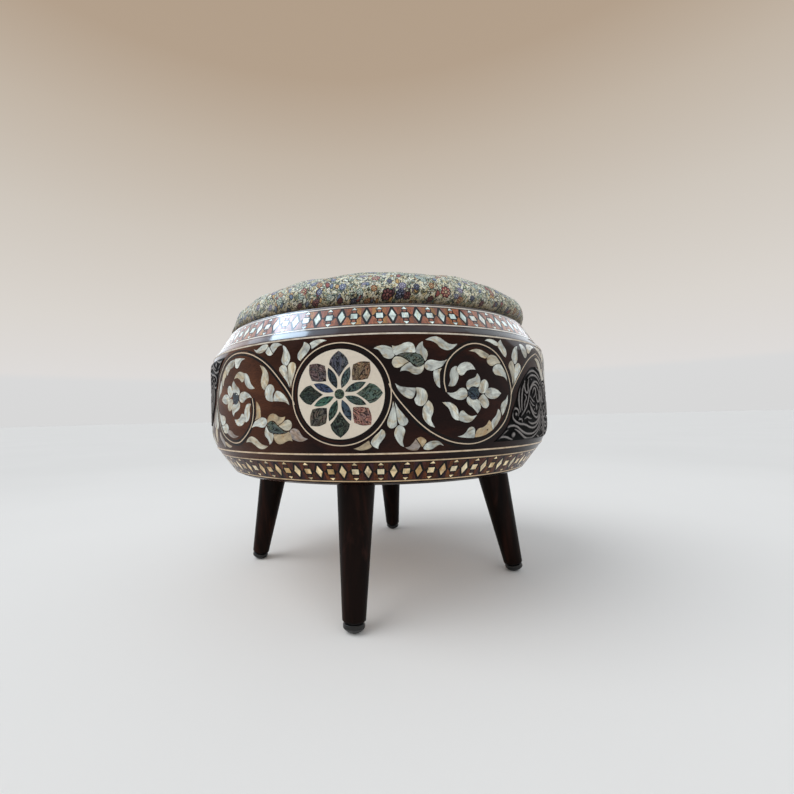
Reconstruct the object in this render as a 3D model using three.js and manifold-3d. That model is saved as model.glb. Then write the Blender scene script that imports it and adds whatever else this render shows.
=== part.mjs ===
// Round inlaid kursi stool: a bevelled wooden drum on four splayed legs, with a lift-off seat.
// Millimetres, +Z up, floor at zero, origin under the middle of the drum, front medallion at -Y.
import * as THREE from 'three';
import { mergeVertices } from 'three/addons/utils/BufferGeometryUtils.js';
import Module from 'manifold-3d';

const wasm = await Module();
wasm.setup();

// Drum wall: a turned shell that draws in a little at its foot and at its head
const drumRadius = 225;
const wallThickness = 16;
const wallHeight = 107.3;
const wallFootInset = 5.6;
const wallHeadInset = 2.3;
const wallFootCurveHeight = 21;
const wallHeadCurveHeight = 13;

// Lower rim: a bevelled ring between the base board and the wall
const undersideHeight = 146.5;
const lowerEdgeRise = 3;
const lowerEdgeRun = 5.5;
const lowerBandRise = 23.5;
const lowerBandRun = 17.1;
const lowerShoulderRise = 6.8;
const lowerShoulderRun = 4.2;
const lowerRimFootWidth = 12.9;

// Upper rim: a bevelled ring on the wall, with a ledge inside that carries the seat
const upperShoulderRise = 8.6;
const upperShoulderRun = 6.2;
const upperBandRise = 24.6;
const upperBandRun = 15.3;
const lipRise = 1.4;
const lipRun = 1.7;
const lipWidth = 7;
const seatRebateDepth = 16;
const ledgeWidth = 16.5;
const ledgeThickness = 12;

// Bone stringing and marquetry, let into the rims
const stringWidth = 1.4;
const stringDepth = 2;
const bandLand = 0.9;

// Medallions and carved panels, let into the wall
const medallionRadius = 47.6;
const inlayDepth = 2.5;
const patternRise = 0.5;
const inlayPlaces = 6;
const panelHalfWidth = 82.6;
const panelHeight = 79;
const panelFootDrop = 48.5;
const panelOutlineShares = [
  [1, 0], [0.95, 0.04], [0.84, 0.14], [0.745, 0.27], [0.685, 0.39],
  [0.6, 0.53], [0.54, 0.66], [0.44, 0.785], [0.32, 0.886], [0.16, 0.97],
];

// Base board, with a plug inside the lower rim and a thin flange under it
const baseBoardThickness = 12;

// Seat: crowned cover over foam on a board that drops into the rebate
const seatClearance = 2;
const coverThickness = 2;
const hemThickness = 1.5;
const hemToRing = 4;
const seatBoardThickness = 12;
const seatBulgeRadius = 199.5;
const seatBulgeRise = 9.7;
const lipOverhangGap = 0.6;
const crownHeight = 49.5;
const crownPlanPower = 2.3;
const crownRisePower = 2.53;
const locatorRingWidth = 16;
const locatorRingDrop = 8;
const locatorClearance = 2;

// Legs: tapered, square cut at the foot, cut level under the drum
const legCount = 4;
const legSplay = THREE.MathUtils.degToRad(11);
const legFootRadius = 12;
const legHeadRadius = 20.8;
const legFootChamfer = 1.5;

// Leg plates, hanger bolts and their screws
const plateRadius = 24;
const plateMargin = 3.1;
const plateThickness = 2.5;
const plateBossRadius = 6.5;
const plateBossHeight = 6;
const hangerRadius = 4;
const hangerDepthInLeg = 30;
const hangerRiseInPlate = 7;
const plateScrewCount = 3;
const plateScrewCircleRadius = 16;
const screwHeadRadius = 3.2;
const screwHeadHeight = 2;
const screwShankRadius = 1.7;
const plateScrewLength = 10.5;
const screwPointLength = 1.5;

// Levelling feet: a threaded stud in a domed pad, screwed into an insert in the leg
const padRadius = 11;
const padDomeRadius = 14;
const padFlatCut = 0.5;
const padHeight = 9.5;
const padEdgeChamfer = 1;
const padNeckRadius = 8;
const padNeckHeight = 1.4;
const studRadius = 4;
const studDepthInPad = 5;
const studDepthInLeg = 22;
const studPointLength = 1;
const insertLength = 14;
const insertWall = 2;

// Fits and facet counts
const gap = 0.3;
const overrun = 5;
const weldTolerance = 0.001;
const drumSides = 48;
const crownSteps = 7;
const bulgeSteps = 3;
const wallCurveSteps = 2;
const medallionSides = 36;
const legSides = 16;
const padSides = 12;
const domeSteps = 3;
const studSides = 10;
const screwSides = 6;

// Levels, from the floor up
const lowerRimFootZ = undersideHeight + lowerEdgeRise;
const lowerBandHeadZ = lowerRimFootZ + lowerBandRise;
const lowerRimHeadZ = lowerBandHeadZ + lowerShoulderRise;
const wallFootZ = lowerRimHeadZ + gap;
const wallHeadZ = wallFootZ + wallHeight;
const upperRimFootZ = wallHeadZ + gap;
const upperBandFootZ = upperRimFootZ + upperShoulderRise;
const upperBandHeadZ = upperBandFootZ + upperBandRise;
const lipZ = upperBandHeadZ + lipRise;
const ledgeZ = lipZ - seatRebateDepth;
const patternZ = (wallFootZ + wallHeadZ) / 2 + patternRise;
const hemZ = ledgeZ + gap;
const seatBoardZ = hemZ + hemThickness + gap;
const foamZ = seatBoardZ + seatBoardThickness + gap;
const bulgeFootZ = lipZ + lipOverhangGap;
const bulgeZ = lipZ + seatBulgeRise;

// Radii, from the wall inwards
const wallInnerRadius = drumRadius - wallThickness;
const wallFootRadius = drumRadius - wallFootInset;
const wallHeadRadius = drumRadius - wallHeadInset;
const lowerBandHeadRadius = wallFootRadius - lowerShoulderRun;
const lowerBandFootRadius = lowerBandHeadRadius - lowerBandRun;
const lowerEdgeRadius = lowerBandFootRadius - lowerEdgeRun;
const lowerRimInnerRadius = lowerBandFootRadius - lowerRimFootWidth;
const upperBandFootRadius = wallHeadRadius - upperShoulderRun;
const upperBandHeadRadius = upperBandFootRadius - upperBandRun;
const lipRadius = upperBandHeadRadius - lipRun;
const rebateRadius = lipRadius - lipWidth;
const ledgeInnerRadius = rebateRadius - ledgeWidth;
const seatNeckRadius = rebateRadius - seatClearance;
const locatorRadius = ledgeInnerRadius - locatorClearance;
const hemInnerRadius = locatorRadius + hemToRing;

const finish = (color, roughness, metalness = 0) =>
  new THREE.MeshStandardMaterial({ color, roughness, metalness, flatShading: true });
const walnut = finish(0x2e1717, 0.18);
const bone = finish(0xcdbda6, 0.4);
const marquetry = finish(0x8a5a40, 0.3);
const ebonised = finish(0x15141a, 0.45);
const rawWood = finish(0x8c6a48, 0.75);
const brocade = finish(0xa5a388, 0.85);
const foam = finish(0xe4dcb8, 0.95);
const legLacquer = finish(0x1d1410, 0.3);
const steel = finish(0x9a9c9e, 0.35, 1);
const brass = finish(0xb08d4f, 0.35, 1);
const padPlastic = finish(0x0b0b0c, 0.5);

const stool = new THREE.Group();

// Adds one named mesh, turned about the stool's middle
function place(name, solid, material, turn = 0) {
  const mesh = new THREE.Mesh(toGeometry(solid), material);
  mesh.name = name;
  mesh.rotation.z = turn;
  stool.add(mesh);
}

function toGeometry(solid) {
  const { vertProperties, triVerts } = solid.getMesh();
  const geometry = new THREE.BufferGeometry();
  geometry.setAttribute('position', new THREE.BufferAttribute(new Float32Array(vertProperties), 3));
  geometry.setIndex(new THREE.BufferAttribute(new Uint32Array(triVerts), 1));
  geometry.computeVertexNormals();
  return geometry;
}

// Six times the volume that the triangles enclose, negative when they face inwards
function signedVolume(position, triangles) {
  const corners = [new THREE.Vector3(), new THREE.Vector3(), new THREE.Vector3()];
  let total = 0;
  for (const triangle of triangles) {
    triangle.forEach((vertex, k) => corners[k].fromBufferAttribute(position, vertex));
    total += corners[0].dot(corners[1].cross(corners[2]));
  }
  return total;
}

function toSolid(geometry) {
  const bare = geometry.clone();
  bare.deleteAttribute('normal');
  bare.deleteAttribute('uv');
  const merged = mergeVertices(bare, weldTolerance);
  const position = merged.getAttribute('position');
  const triangles = [];
  for (let k = 0; k < merged.index.count; k += 3) {
    const [a, b, c] = [0, 1, 2].map((corner) => merged.index.getX(k + corner));
    if (a !== b && b !== c && c !== a) triangles.push([a, b, c]);
  }
  if (signedVolume(position, triangles) < 0) triangles.forEach((triangle) => triangle.reverse());
  return new wasm.Manifold(new wasm.Mesh({
    numProp: 3,
    vertProperties: new Float32Array(position.array),
    triVerts: new Uint32Array(triangles.flat()),
  }));
}

// A solid of revolution about +Z from [radius, height] points, moved by a matrix if one is given
function turned(profile, sides, matrix = new THREE.Matrix4()) {
  const points = profile.map(([radius, height]) => new THREE.Vector2(radius, height));
  const onAxis = profile[0][0] === 0 && profile.at(-1)[0] === 0;
  if (!onAxis) points.push(points[0].clone());
  const geometry = new THREE.LatheGeometry(points, sides).rotateX(Math.PI / 2);
  return toSolid(geometry.applyMatrix4(matrix));
}

const rod = (radius, from, to, sides, matrix) =>
  turned([[0, from], [radius, from], [radius, to], [0, to]], sides, matrix);

// A cube centred on a point
function cube(size, centre) {
  return toSolid(new THREE.BoxGeometry(size, size, size).translate(centre.x, centre.y, centre.z));
}

const union = (solids) => solids.reduce((whole, solid) => whole.add(solid));
const cut = (solid, cutters) => cutters.reduce((rest, cutter) => rest.subtract(cutter), solid);
const around = (count, make, start = 0) =>
  Array.from({ length: count }, (_, k) => make(start + (k * 2 * Math.PI) / count, k));
const polar = (radius, angle, height) =>
  new THREE.Vector3(radius * Math.cos(angle), radius * Math.sin(angle), height);

// A conical face of a rim: at(along, depth) is a point that far up the face and that far under it
function bevel(footRadius, footZ, headRadius, headZ) {
  const foot = new THREE.Vector2(footRadius, footZ);
  const along = new THREE.Vector2(headRadius, headZ).sub(foot);
  const length = along.length();
  along.normalize();
  const inwards = new THREE.Vector2(-along.y, along.x);
  const at = (distance, depth) =>
    foot.clone().addScaledVector(along, distance).addScaledVector(inwards, depth).toArray();
  return { at, length };
}

const lowerBevel = bevel(lowerBandFootRadius, lowerRimFootZ, lowerBandHeadRadius, lowerBandHeadZ);
const upperBevel = bevel(upperBandFootRadius, upperBandFootZ, upperBandHeadRadius, upperBandHeadZ);

// The channel that a rim has for one marquetry band and the string on either side of it
function channelOutline({ at, length }) {
  const depth = stringDepth + gap;
  const head = length - bandLand;
  return [at(0, 0), at(bandLand, 0), at(bandLand, depth), at(head, depth), at(head, 0), at(length, 0)];
}

function ringInBevel({ at }, from, to) {
  return turned([at(from, 0), at(to, 0), at(to, stringDepth), at(from, stringDepth)], drumSides);
}

function addBand(face, bandName, footStringName, headStringName) {
  const footString = bandLand + gap;
  const headString = face.length - footString - stringWidth;
  const bandFoot = footString + stringWidth + gap;
  place(footStringName, ringInBevel(face, footString, footString + stringWidth), bone);
  place(headStringName, ringInBevel(face, headString, headString + stringWidth), bone);
  place(bandName, ringInBevel(face, bandFoot, headString - gap), marquetry);
}

// Outer radius of the wall at a height
function wallRadiusAt(z) {
  const footShare = Math.max(0, 1 - (z - wallFootZ) / wallFootCurveHeight);
  const headShare = Math.max(0, 1 - (wallHeadZ - z) / wallHeadCurveHeight);
  return drumRadius - wallFootInset * footShare ** 2 - wallHeadInset * headShare ** 2;
}

const curveShares = Array.from({ length: wallCurveSteps + 1 }, (_, k) => k / wallCurveSteps);
const wallLevels = [
  ...curveShares.map((share) => wallFootZ + wallFootCurveHeight * share),
  ...curveShares.map((share) => wallHeadZ - wallHeadCurveHeight * (1 - share)),
];

// A shell under the wall's face, between two depths; a negative depth stands proud of the face
function wallShell(outerDepth, innerDepth) {
  const outer = wallLevels.map((z) => [wallRadiusAt(z) - outerDepth, z]);
  const inner = wallLevels.map((z) => [wallRadiusAt(z) - innerDepth, z]).reverse();
  return turned([...outer, ...inner], drumSides);
}

// Moves each point of a closed outline outwards, square to the sides that meet there
function grownOutline(points, distance) {
  return points.map((point, k) => {
    const before = points[(k + points.length - 1) % points.length];
    const after = points[(k + 1) % points.length];
    const first = point.clone().sub(before).normalize();
    const second = after.clone().sub(point).normalize();
    const bisector = new THREE.Vector2(first.y + second.y, -first.x - second.x).normalize();
    const spread = bisector.dot(new THREE.Vector2(first.y, -first.x));
    return point.clone().addScaledVector(bisector, distance / spread);
  });
}

function circleOutline() {
  return around(medallionSides, (angle) =>
    new THREE.Vector2(medallionRadius * Math.cos(angle), medallionRadius * Math.sin(angle)));
}

// Bell-shaped panel outline, narrow at the top; upright is +1, hanging is -1
function panelOutline(stance) {
  const right = panelOutlineShares.map(([x, z]) =>
    new THREE.Vector2(x * panelHalfWidth, (z * panelHeight - panelFootDrop) * stance));
  const left = right.map((point) => new THREE.Vector2(-point.x, point.y)).reverse();
  const outline = [...right, ...left];
  return stance > 0 ? outline : outline.reverse();
}

// A prism through the front of the wall with the outline as its section
function prismThroughFront(outline) {
  const depth = drumRadius + overrun;
  const geometry = new THREE.ExtrudeGeometry(new THREE.Shape(outline), { depth, bevelEnabled: false });
  return toSolid(geometry.rotateX(Math.PI / 2).translate(0, 0, patternZ));
}

const inlayShell = wallShell(0, inlayDepth);
const pocketShell = wallShell(-overrun, inlayDepth + gap);
const inlayFrom = (outline) => prismThroughFront(outline).intersect(inlayShell);
const turnAboutZ = (solid, angle) => toSolid(toGeometry(solid).rotateZ(angle));
const pocketFor = (outline, turn) =>
  turnAboutZ(prismThroughFront(grownOutline(outline, gap)).intersect(pocketShell), turn);

// Inlays round the wall: medallion, panel, medallion, panel, from the front towards +X
const inlays = [
  { name: 'medallion_front', outline: circleOutline(), material: bone },
  { name: 'carved_panel_front_right', outline: panelOutline(1), material: ebonised },
  { name: 'medallion_back_right', outline: circleOutline(), material: bone },
  { name: 'carved_panel_back', outline: panelOutline(-1), material: ebonised },
  { name: 'medallion_back_left', outline: circleOutline(), material: bone },
  { name: 'carved_panel_front_left', outline: panelOutline(-1), material: ebonised },
];
const inlayTurn = (k) => (k * 2 * Math.PI) / inlayPlaces;

function addWall() {
  const outer = wallLevels.map((z) => [wallRadiusAt(z), z]);
  const shell = turned([...outer, [wallInnerRadius, wallHeadZ], [wallInnerRadius, wallFootZ]], drumSides);
  place('drum_wall', cut(shell, inlays.map(({ outline }, k) => pocketFor(outline, inlayTurn(k)))), walnut);
  inlays.forEach(({ name, outline, material }, k) => {
    place(name, inlayFrom(outline), material, inlayTurn(k));
  });
}

// Countersunk screw, head flush at the given level, pointing up; grown by a clearance for its hole
function screw(centre, length, clearance = 0) {
  const head = screwHeadRadius + clearance;
  const shank = screwShankRadius + clearance;
  const start = clearance > 0 ? -overrun : 0;
  const profile = [
    [0, start], [head, start], [head, 0], [shank, screwHeadHeight],
    [shank, length - screwPointLength + clearance], [0, length + clearance],
  ];
  const outline = clearance > 0 ? profile : profile.filter((_, k) => k !== 1);
  outline[0] = [0, start];
  return turned(outline, screwSides, new THREE.Matrix4().makeTranslation(centre));
}

function addLowerRim() {
  const outline = [
    [lowerRimInnerRadius, lowerRimFootZ],
    ...channelOutline(lowerBevel),
    [wallFootRadius, lowerRimHeadZ - stringWidth - gap],
    [wallFootRadius - stringDepth - gap, lowerRimHeadZ - stringWidth - gap],
    [wallFootRadius - stringDepth - gap, lowerRimHeadZ],
    [wallInnerRadius, lowerRimHeadZ],
    [lowerRimInnerRadius, undersideHeight + baseBoardThickness],
  ];
  place('lower_rim', turned(outline, drumSides), walnut);
  addBand(lowerBevel, 'lower_marquetry_band', 'bone_string_lower_foot', 'bone_string_lower_head');
  place('bone_string_wall_foot', turned([
    [wallFootRadius - stringDepth, lowerRimHeadZ - stringWidth], [wallFootRadius, lowerRimHeadZ - stringWidth],
    [wallFootRadius, lowerRimHeadZ], [wallFootRadius - stringDepth, lowerRimHeadZ],
  ], drumSides), bone);
}

function addUpperRim() {
  const outline = [
    [wallInnerRadius, upperRimFootZ],
    [wallHeadRadius - stringDepth - gap, upperRimFootZ],
    [wallHeadRadius - stringDepth - gap, upperRimFootZ + stringWidth + gap],
    [wallHeadRadius, upperRimFootZ + stringWidth + gap],
    ...channelOutline(upperBevel),
    [lipRadius, lipZ], [rebateRadius, lipZ],
    [rebateRadius, ledgeZ], [ledgeInnerRadius, ledgeZ],
    [ledgeInnerRadius, ledgeZ - ledgeThickness], [wallInnerRadius, ledgeZ - ledgeThickness],
  ];
  place('upper_rim', turned(outline, drumSides), walnut);
  addBand(upperBevel, 'upper_marquetry_band', 'bone_string_upper_foot', 'bone_string_upper_head');
  place('bone_string_wall_head', turned([
    [wallHeadRadius - stringDepth, upperRimFootZ], [wallHeadRadius, upperRimFootZ],
    [wallHeadRadius, upperRimFootZ + stringWidth], [wallHeadRadius - stringDepth, upperRimFootZ + stringWidth],
  ], drumSides), bone);
}

// Points of the cushion from its neck to the middle of its crown, drawn in by a thickness
function cushionOutline(inset) {
  const bulge = Array.from({ length: bulgeSteps + 1 }, (_, k) => {
    const angle = (k / bulgeSteps) * (Math.PI / 2);
    const drop = bulgeZ - bulgeFootZ - inset;
    const reach = seatBulgeRadius - seatNeckRadius;
    return [seatNeckRadius - inset + reach * Math.sin(angle), bulgeZ - drop * Math.cos(angle)];
  });
  const crown = Array.from({ length: crownSteps }, (_, k) => {
    const angle = ((k + 1) / crownSteps) * (Math.PI / 2);
    const plan = k + 1 === crownSteps ? 0 : Math.cos(angle) ** (2 / crownPlanPower);
    const rise = Math.sin(angle) ** (2 / crownRisePower);
    return [(seatBulgeRadius - inset) * plan, bulgeZ + (crownHeight - inset) * rise];
  });
  return [...bulge, ...crown];
}

function addSeat() {
  const underHem = hemZ + hemThickness;
  const cover = [
    ...cushionOutline(coverThickness).reverse(),
    [seatNeckRadius - coverThickness, underHem], [hemInnerRadius, underHem],
    [hemInnerRadius, hemZ], [seatNeckRadius, hemZ],
    ...cushionOutline(0),
  ];
  place('seat_cover', turned(cover, drumSides), brocade);
  const core = coverThickness + gap;
  const boardRadius = seatNeckRadius - core;
  place('seat_foam', turned([[0, foamZ], [boardRadius, foamZ], ...cushionOutline(core)], drumSides), foam);
  place('seat_board', rod(boardRadius, seatBoardZ, seatBoardZ + seatBoardThickness, drumSides), rawWood);
  const ringFoot = ledgeZ - locatorRingDrop;
  place('seat_locator_ring', turned([
    [locatorRadius - locatorRingWidth, ringFoot], [locatorRadius, ringFoot],
    [locatorRadius, seatBoardZ - gap], [locatorRadius - locatorRingWidth, seatBoardZ - gap],
  ], drumSides), rawWood);
}

// The leg plate sits in a recess just inside the edge of the base board's plug
const plugRadius = lowerRimInnerRadius - gap;
const legHeadRadial = plugRadius - plateMargin - gap - plateRadius;
const legFloorRadius = legHeadRadial + undersideHeight * Math.tan(legSplay);

// The leg's own frame: origin where its axis meets the floor, +Z up the axis, outwards is +X
const legFrame = new THREE.Matrix4()
  .makeTranslation(legFloorRadius, 0, 0)
  .multiply(new THREE.Matrix4().makeRotationY(-legSplay));
const legHeadAlong = undersideHeight / Math.cos(legSplay);
const domeCentre = (padDomeRadius - padFlatCut) / Math.cos(legSplay);
const padHead = domeCentre - padDomeRadius + padHeight;
const padNeckHead = padHead + padNeckHeight;
const legEnd = padNeckHead + gap;
const plateSpot = new THREE.Vector3(legHeadRadial, 0, undersideHeight);
const plateFrame = new THREE.Matrix4().makeTranslation(plateSpot);
const plateScrewSpots = around(plateScrewCount, (angle) =>
  polar(plateScrewCircleRadius, angle, 0).add(plateSpot), Math.PI / plateScrewCount);

const legTurn = (k) => (k * 2 * Math.PI) / legCount - Math.PI / 2;
const legNames = ['front', 'right', 'back', 'left'];

function legSolid() {
  const boreRadius = studRadius + gap;
  const insertBore = studRadius + gap + insertWall + gap;
  const head = legHeadAlong + legHeadRadius;
  const taper = (legHeadRadius - legFootRadius) / (legHeadAlong - legEnd);
  const outline = [
    [0, legEnd + studDepthInLeg + gap], [boreRadius, legEnd + studDepthInLeg + gap],
    [boreRadius, legEnd + insertLength + gap], [insertBore, legEnd + insertLength + gap],
    [insertBore, legEnd], [legFootRadius - legFootChamfer, legEnd],
    [legFootRadius, legEnd + legFootChamfer],
    [legHeadRadius + taper * (head - legHeadAlong), head], [hangerRadius + gap, head],
    [hangerRadius + gap, legHeadAlong - hangerDepthInLeg - gap], [0, legHeadAlong - hangerDepthInLeg - gap],
  ];
  const size = 4 * legHeadRadius;
  const above = new THREE.Vector3(legHeadRadial, 0, undersideHeight - gap + size / 2);
  return turned(outline, legSides, legFrame).subtract(cube(size, above));
}

function plateSolid() {
  const disc = rod(plateRadius, 0, plateThickness, legSides, plateFrame);
  const boss = rod(plateBossRadius, 0, legHeadAlong + plateThickness + plateBossHeight, studSides, legFrame);
  const size = 2 * undersideHeight;
  const middle = new THREE.Vector3(legHeadRadial, 0, undersideHeight + plateThickness / 2 - size / 2);
  const upperBoss = boss.subtract(cube(size, middle));
  const bore = rod(hangerRadius + gap, 0, legHeadAlong + hangerDepthInLeg, studSides, legFrame);
  const holes = plateScrewSpots.map((spot) => screw(spot, plateScrewLength, gap));
  return cut(disc.add(upperBoss), [bore, ...holes]);
}

function addLegs() {
  const leg = legSolid();
  const plate = plateSolid();
  const hanger = rod(
    hangerRadius, legHeadAlong - hangerDepthInLeg, legHeadAlong + hangerRiseInPlate, studSides, legFrame);
  const screws = plateScrewSpots.map((spot) => screw(spot, plateScrewLength));
  const insertBore = studRadius + gap;
  const insert = turned([
    [insertBore, legEnd], [insertBore + insertWall, legEnd],
    [insertBore + insertWall, legEnd + insertLength], [insertBore, legEnd + insertLength],
  ], studSides, legFrame);
  const pad = padSolid();
  const stud = studSolid();
  legNames.forEach((name, k) => {
    place(`leg_${name}`, leg, legLacquer, legTurn(k));
    place(`leg_plate_${name}`, plate, steel, legTurn(k));
    place(`hanger_bolt_${name}`, hanger, steel, legTurn(k));
    screws.forEach((solid, n) => place(`plate_screw_${name}_${n + 1}`, solid, steel, legTurn(k)));
    place(`foot_insert_${name}`, insert, brass, legTurn(k));
    place(`foot_stud_${name}`, stud, steel, legTurn(k));
    place(`foot_pad_${name}`, pad, padPlastic, legTurn(k));
  });
}

// Domed pad with a flat on the floor and a socket for its stud
function padSolid() {
  const domeEdge = Math.asin(padRadius / padDomeRadius);
  const dome = Array.from({ length: domeSteps + 1 }, (_, k) => {
    const angle = (k / domeSteps) * domeEdge;
    return [padDomeRadius * Math.sin(angle), domeCentre - padDomeRadius * Math.cos(angle)];
  });
  const socket = studRadius + gap;
  const outline = [
    ...dome, [padRadius, padHead - padEdgeChamfer], [padRadius - padEdgeChamfer, padHead],
    [padNeckRadius, padHead], [padNeckRadius, padNeckHead], [socket, padNeckHead],
    [socket, padNeckHead - studDepthInPad], [0, padNeckHead - studDepthInPad],
  ];
  const size = 4 * padRadius;
  const below = new THREE.Vector3(legFloorRadius, 0, -size / 2);
  return turned(outline, padSides, legFrame).subtract(cube(size, below));
}

function studSolid() {
  const foot = padNeckHead - studDepthInPad + gap;
  const head = legEnd + studDepthInLeg;
  return turned([
    [0, foot], [studRadius, foot], [studRadius, head - studPointLength],
    [studRadius - studPointLength, head], [0, head],
  ], studSides, legFrame);
}

function addBaseBoard() {
  const top = undersideHeight + baseBoardThickness;
  const flangeZ = lowerRimFootZ - gap;
  const board = turned([
    [0, undersideHeight], [lowerEdgeRadius, undersideHeight], [lowerBandFootRadius - gap, flangeZ],
    [plugRadius, flangeZ], [plugRadius, top], [0, top],
  ], drumSides);
  const recess = rod(plateRadius + gap, -overrun, plateThickness + gap, legSides, plateFrame);
  const bossHole = rod(plateBossRadius + gap, 0, legHeadAlong + baseBoardThickness + overrun, studSides, legFrame);
  const plateHoles = plateScrewSpots.map((spot) => screw(spot, plateScrewLength, gap));
  const underPlate = union([recess, bossHole, ...plateHoles]);
  const cutters = around(legCount, (_, k) => turnAboutZ(underPlate, legTurn(k)));
  place('base_board', cut(board, cutters), rawWood);
}

addWall();
addLowerRim();
addUpperRim();
addBaseBoard();
addLegs();
addSeat();

export default stool;
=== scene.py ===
"""Looks of the round inlaid kursi stool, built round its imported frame.

Sizes are in millimetres until a mesh is made. u runs round the drum from its front (-Y) towards +X,
measured on the widest radius; z is height above the floor.
"""
import math
import random

import bpy
import numpy as np
from mathutils import Matrix, Vector, bvhtree, geometry


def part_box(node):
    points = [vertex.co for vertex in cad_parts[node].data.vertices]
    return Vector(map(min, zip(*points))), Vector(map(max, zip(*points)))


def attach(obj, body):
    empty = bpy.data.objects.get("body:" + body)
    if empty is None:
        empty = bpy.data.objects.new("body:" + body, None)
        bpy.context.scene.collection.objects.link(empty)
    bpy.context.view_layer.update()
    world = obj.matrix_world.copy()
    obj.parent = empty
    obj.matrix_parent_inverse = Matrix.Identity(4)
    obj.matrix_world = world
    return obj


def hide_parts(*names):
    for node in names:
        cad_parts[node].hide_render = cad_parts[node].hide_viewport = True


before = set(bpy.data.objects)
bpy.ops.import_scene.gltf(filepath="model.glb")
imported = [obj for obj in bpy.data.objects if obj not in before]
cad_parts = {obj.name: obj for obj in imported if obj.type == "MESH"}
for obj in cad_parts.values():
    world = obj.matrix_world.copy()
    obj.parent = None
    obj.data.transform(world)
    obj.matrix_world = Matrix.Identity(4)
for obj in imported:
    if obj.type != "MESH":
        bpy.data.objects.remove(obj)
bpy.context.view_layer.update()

MM = 0.001
FULL_TURN = 2 * math.pi
T = True  # the third value of a point that is a sharp tip of its outline
RANDOM_SEED = 11
random.seed(RANDOM_SEED)


def corners(node):
    """Lowest and highest corner of a CAD node, in millimetres."""
    low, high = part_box(node)
    return low / MM, high / MM


# Drum, from the frame
WALL_LOW, WALL_HIGH = corners("drum_wall")
DRUM_RADIUS = WALL_HIGH.x
WALL_FOOT_Z = WALL_LOW.z
WALL_HEAD_Z = WALL_HIGH.z
WALL_FOOT_INSET = 5.6
WALL_HEAD_INSET = 2.3
WALL_FOOT_CURVE = 21.0
WALL_HEAD_CURVE = 13.0
WALL_FOOT_RADIUS = DRUM_RADIUS - WALL_FOOT_INSET
WALL_HEAD_RADIUS = DRUM_RADIUS - WALL_HEAD_INSET
WALL_THICKNESS = 16.0
WALL_INNER_RADIUS = DRUM_RADIUS - WALL_THICKNESS
GAP = 0.3
PATTERN_RISE = 0.5
PATTERN_Z = (WALL_FOOT_Z + WALL_HEAD_Z) / 2 + PATTERN_RISE
GIRTH = FULL_TURN * DRUM_RADIUS
DRUM_SIDES = 288
WALL_STEPS = 24
ROUND_STEPS = 4

# Rims: (radius, height) of the foot and head of each bevelled face
LOWER_FOOT = (198.1, corners("lower_rim")[0].z)
LOWER_HEAD = (215.2, LOWER_FOOT[1] + 23.5)
LOWER_RIM_HEAD_Z = corners("lower_rim")[1].z
LOWER_INNER_RADIUS = 185.2
UNDERSIDE_Z = corners("base_board")[0].z
BASE_TOP_Z = corners("base_board")[1].z
LOWER_EDGE_RADIUS = 192.6
UPPER_RIM_FOOT_Z = corners("upper_rim")[0].z
UPPER_FOOT = (216.5, UPPER_RIM_FOOT_Z + 8.6)
UPPER_HEAD = (201.2, UPPER_FOOT[1] + 24.6)
LIP_Z = corners("upper_rim")[1].z
LIP_RADIUS = 199.5
REBATE_RADIUS = 192.5
LEDGE_RADIUS = 176.0
LEDGE_Z = LIP_Z - 16.0
LEDGE_THICKNESS = 12.0
STRING_WIDTH = 1.4
BAND_LAND = 0.9
BAND_UNITS = 54
UPPER_BAND_PHASE = -0.3
LOWER_BAND_PHASE = -2.6

# Inlay heights over the wood, and how far the pieces reach into it
BED_PROUD = 0.05
PIECE_PROUD = 0.11
LINE_PROUD = 0.14
INLAY_DEPTH = 0.5
VEIL = 0.1  # how far a thin finish stands off the solid under it

# Main pattern: medallions a third of a turn apart, carved panels between them
MEDALLION_SPACING = GIRTH / 3
MOTIF_U = -31.0
MOTIF_Z = 234.5
RING_RADIUS = 47.0
DISC_RADIUS = 41.2

# Seat
SEAT_LOW, SEAT_HIGH = corners("seat_cover")
CROWN_Z = SEAT_HIGH.z
NECK_RADIUS = 190.5
BULGE_RADIUS = SEAT_HIGH.x
BULGE_Z = LIP_Z + 9.7
BULGE_FOOT_Z = LIP_Z + 0.6
CROWN_PLAN_POWER = 2.3
CROWN_RISE_POWER = 2.53
HEM_INNER_RADIUS = 178.0
HEM_THICKNESS = 1.5

# Legs
LEG_SPLAY = math.radians(11)
LEG_HEAD_RADIAL = 157.5
LEG_FLOOR_RADIUS = LEG_HEAD_RADIAL + UNDERSIDE_Z * math.tan(LEG_SPLAY)
LEG_FOOT_RADIUS = 12.0
LEG_HEAD_RADIUS = 20.8
LEG_BORE = 6.3
LEG_SIDES = 72
LEG_FOOT_ROUND = 1.6
TAPER_STEPS = 10
HEAD_REGION = 10
PAD_RADIUS = 11.0
PAD_DOME_RADIUS = 14.0
PAD_HEIGHT = 9.5
PAD_NECK_RADIUS = 8.0
PAD_NECK_HEIGHT = 1.4
PAD_SIDES = 56
PAD_FOOT_ROUND, PAD_HEAD_ROUND = 0.8, 1.4
STUD_BORE = (4.2, 5)  # radius and depth
DOME_STEPS = 10
PAD_DOME_SINK = 0.5
DOME_CENTRE = (PAD_DOME_RADIUS - PAD_DOME_SINK) / math.cos(LEG_SPLAY)
PAD_HEAD = DOME_CENTRE - PAD_DOME_RADIUS + PAD_HEIGHT
LEG_END = PAD_HEAD + PAD_NECK_HEIGHT + GAP
LEG_TURNS = {"front": -90, "right": 0, "back": 90, "left": 180}


# Materials


def srgb(code):
    """Linear colour from a six-digit screen colour."""
    channels = [int(code[k:k + 2], 16) / 255 for k in (0, 2, 4)]
    return tuple(c / 12.92 if c <= 0.04045 else ((c + 0.055) / 1.055) ** 2.4 for c in channels)


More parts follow.
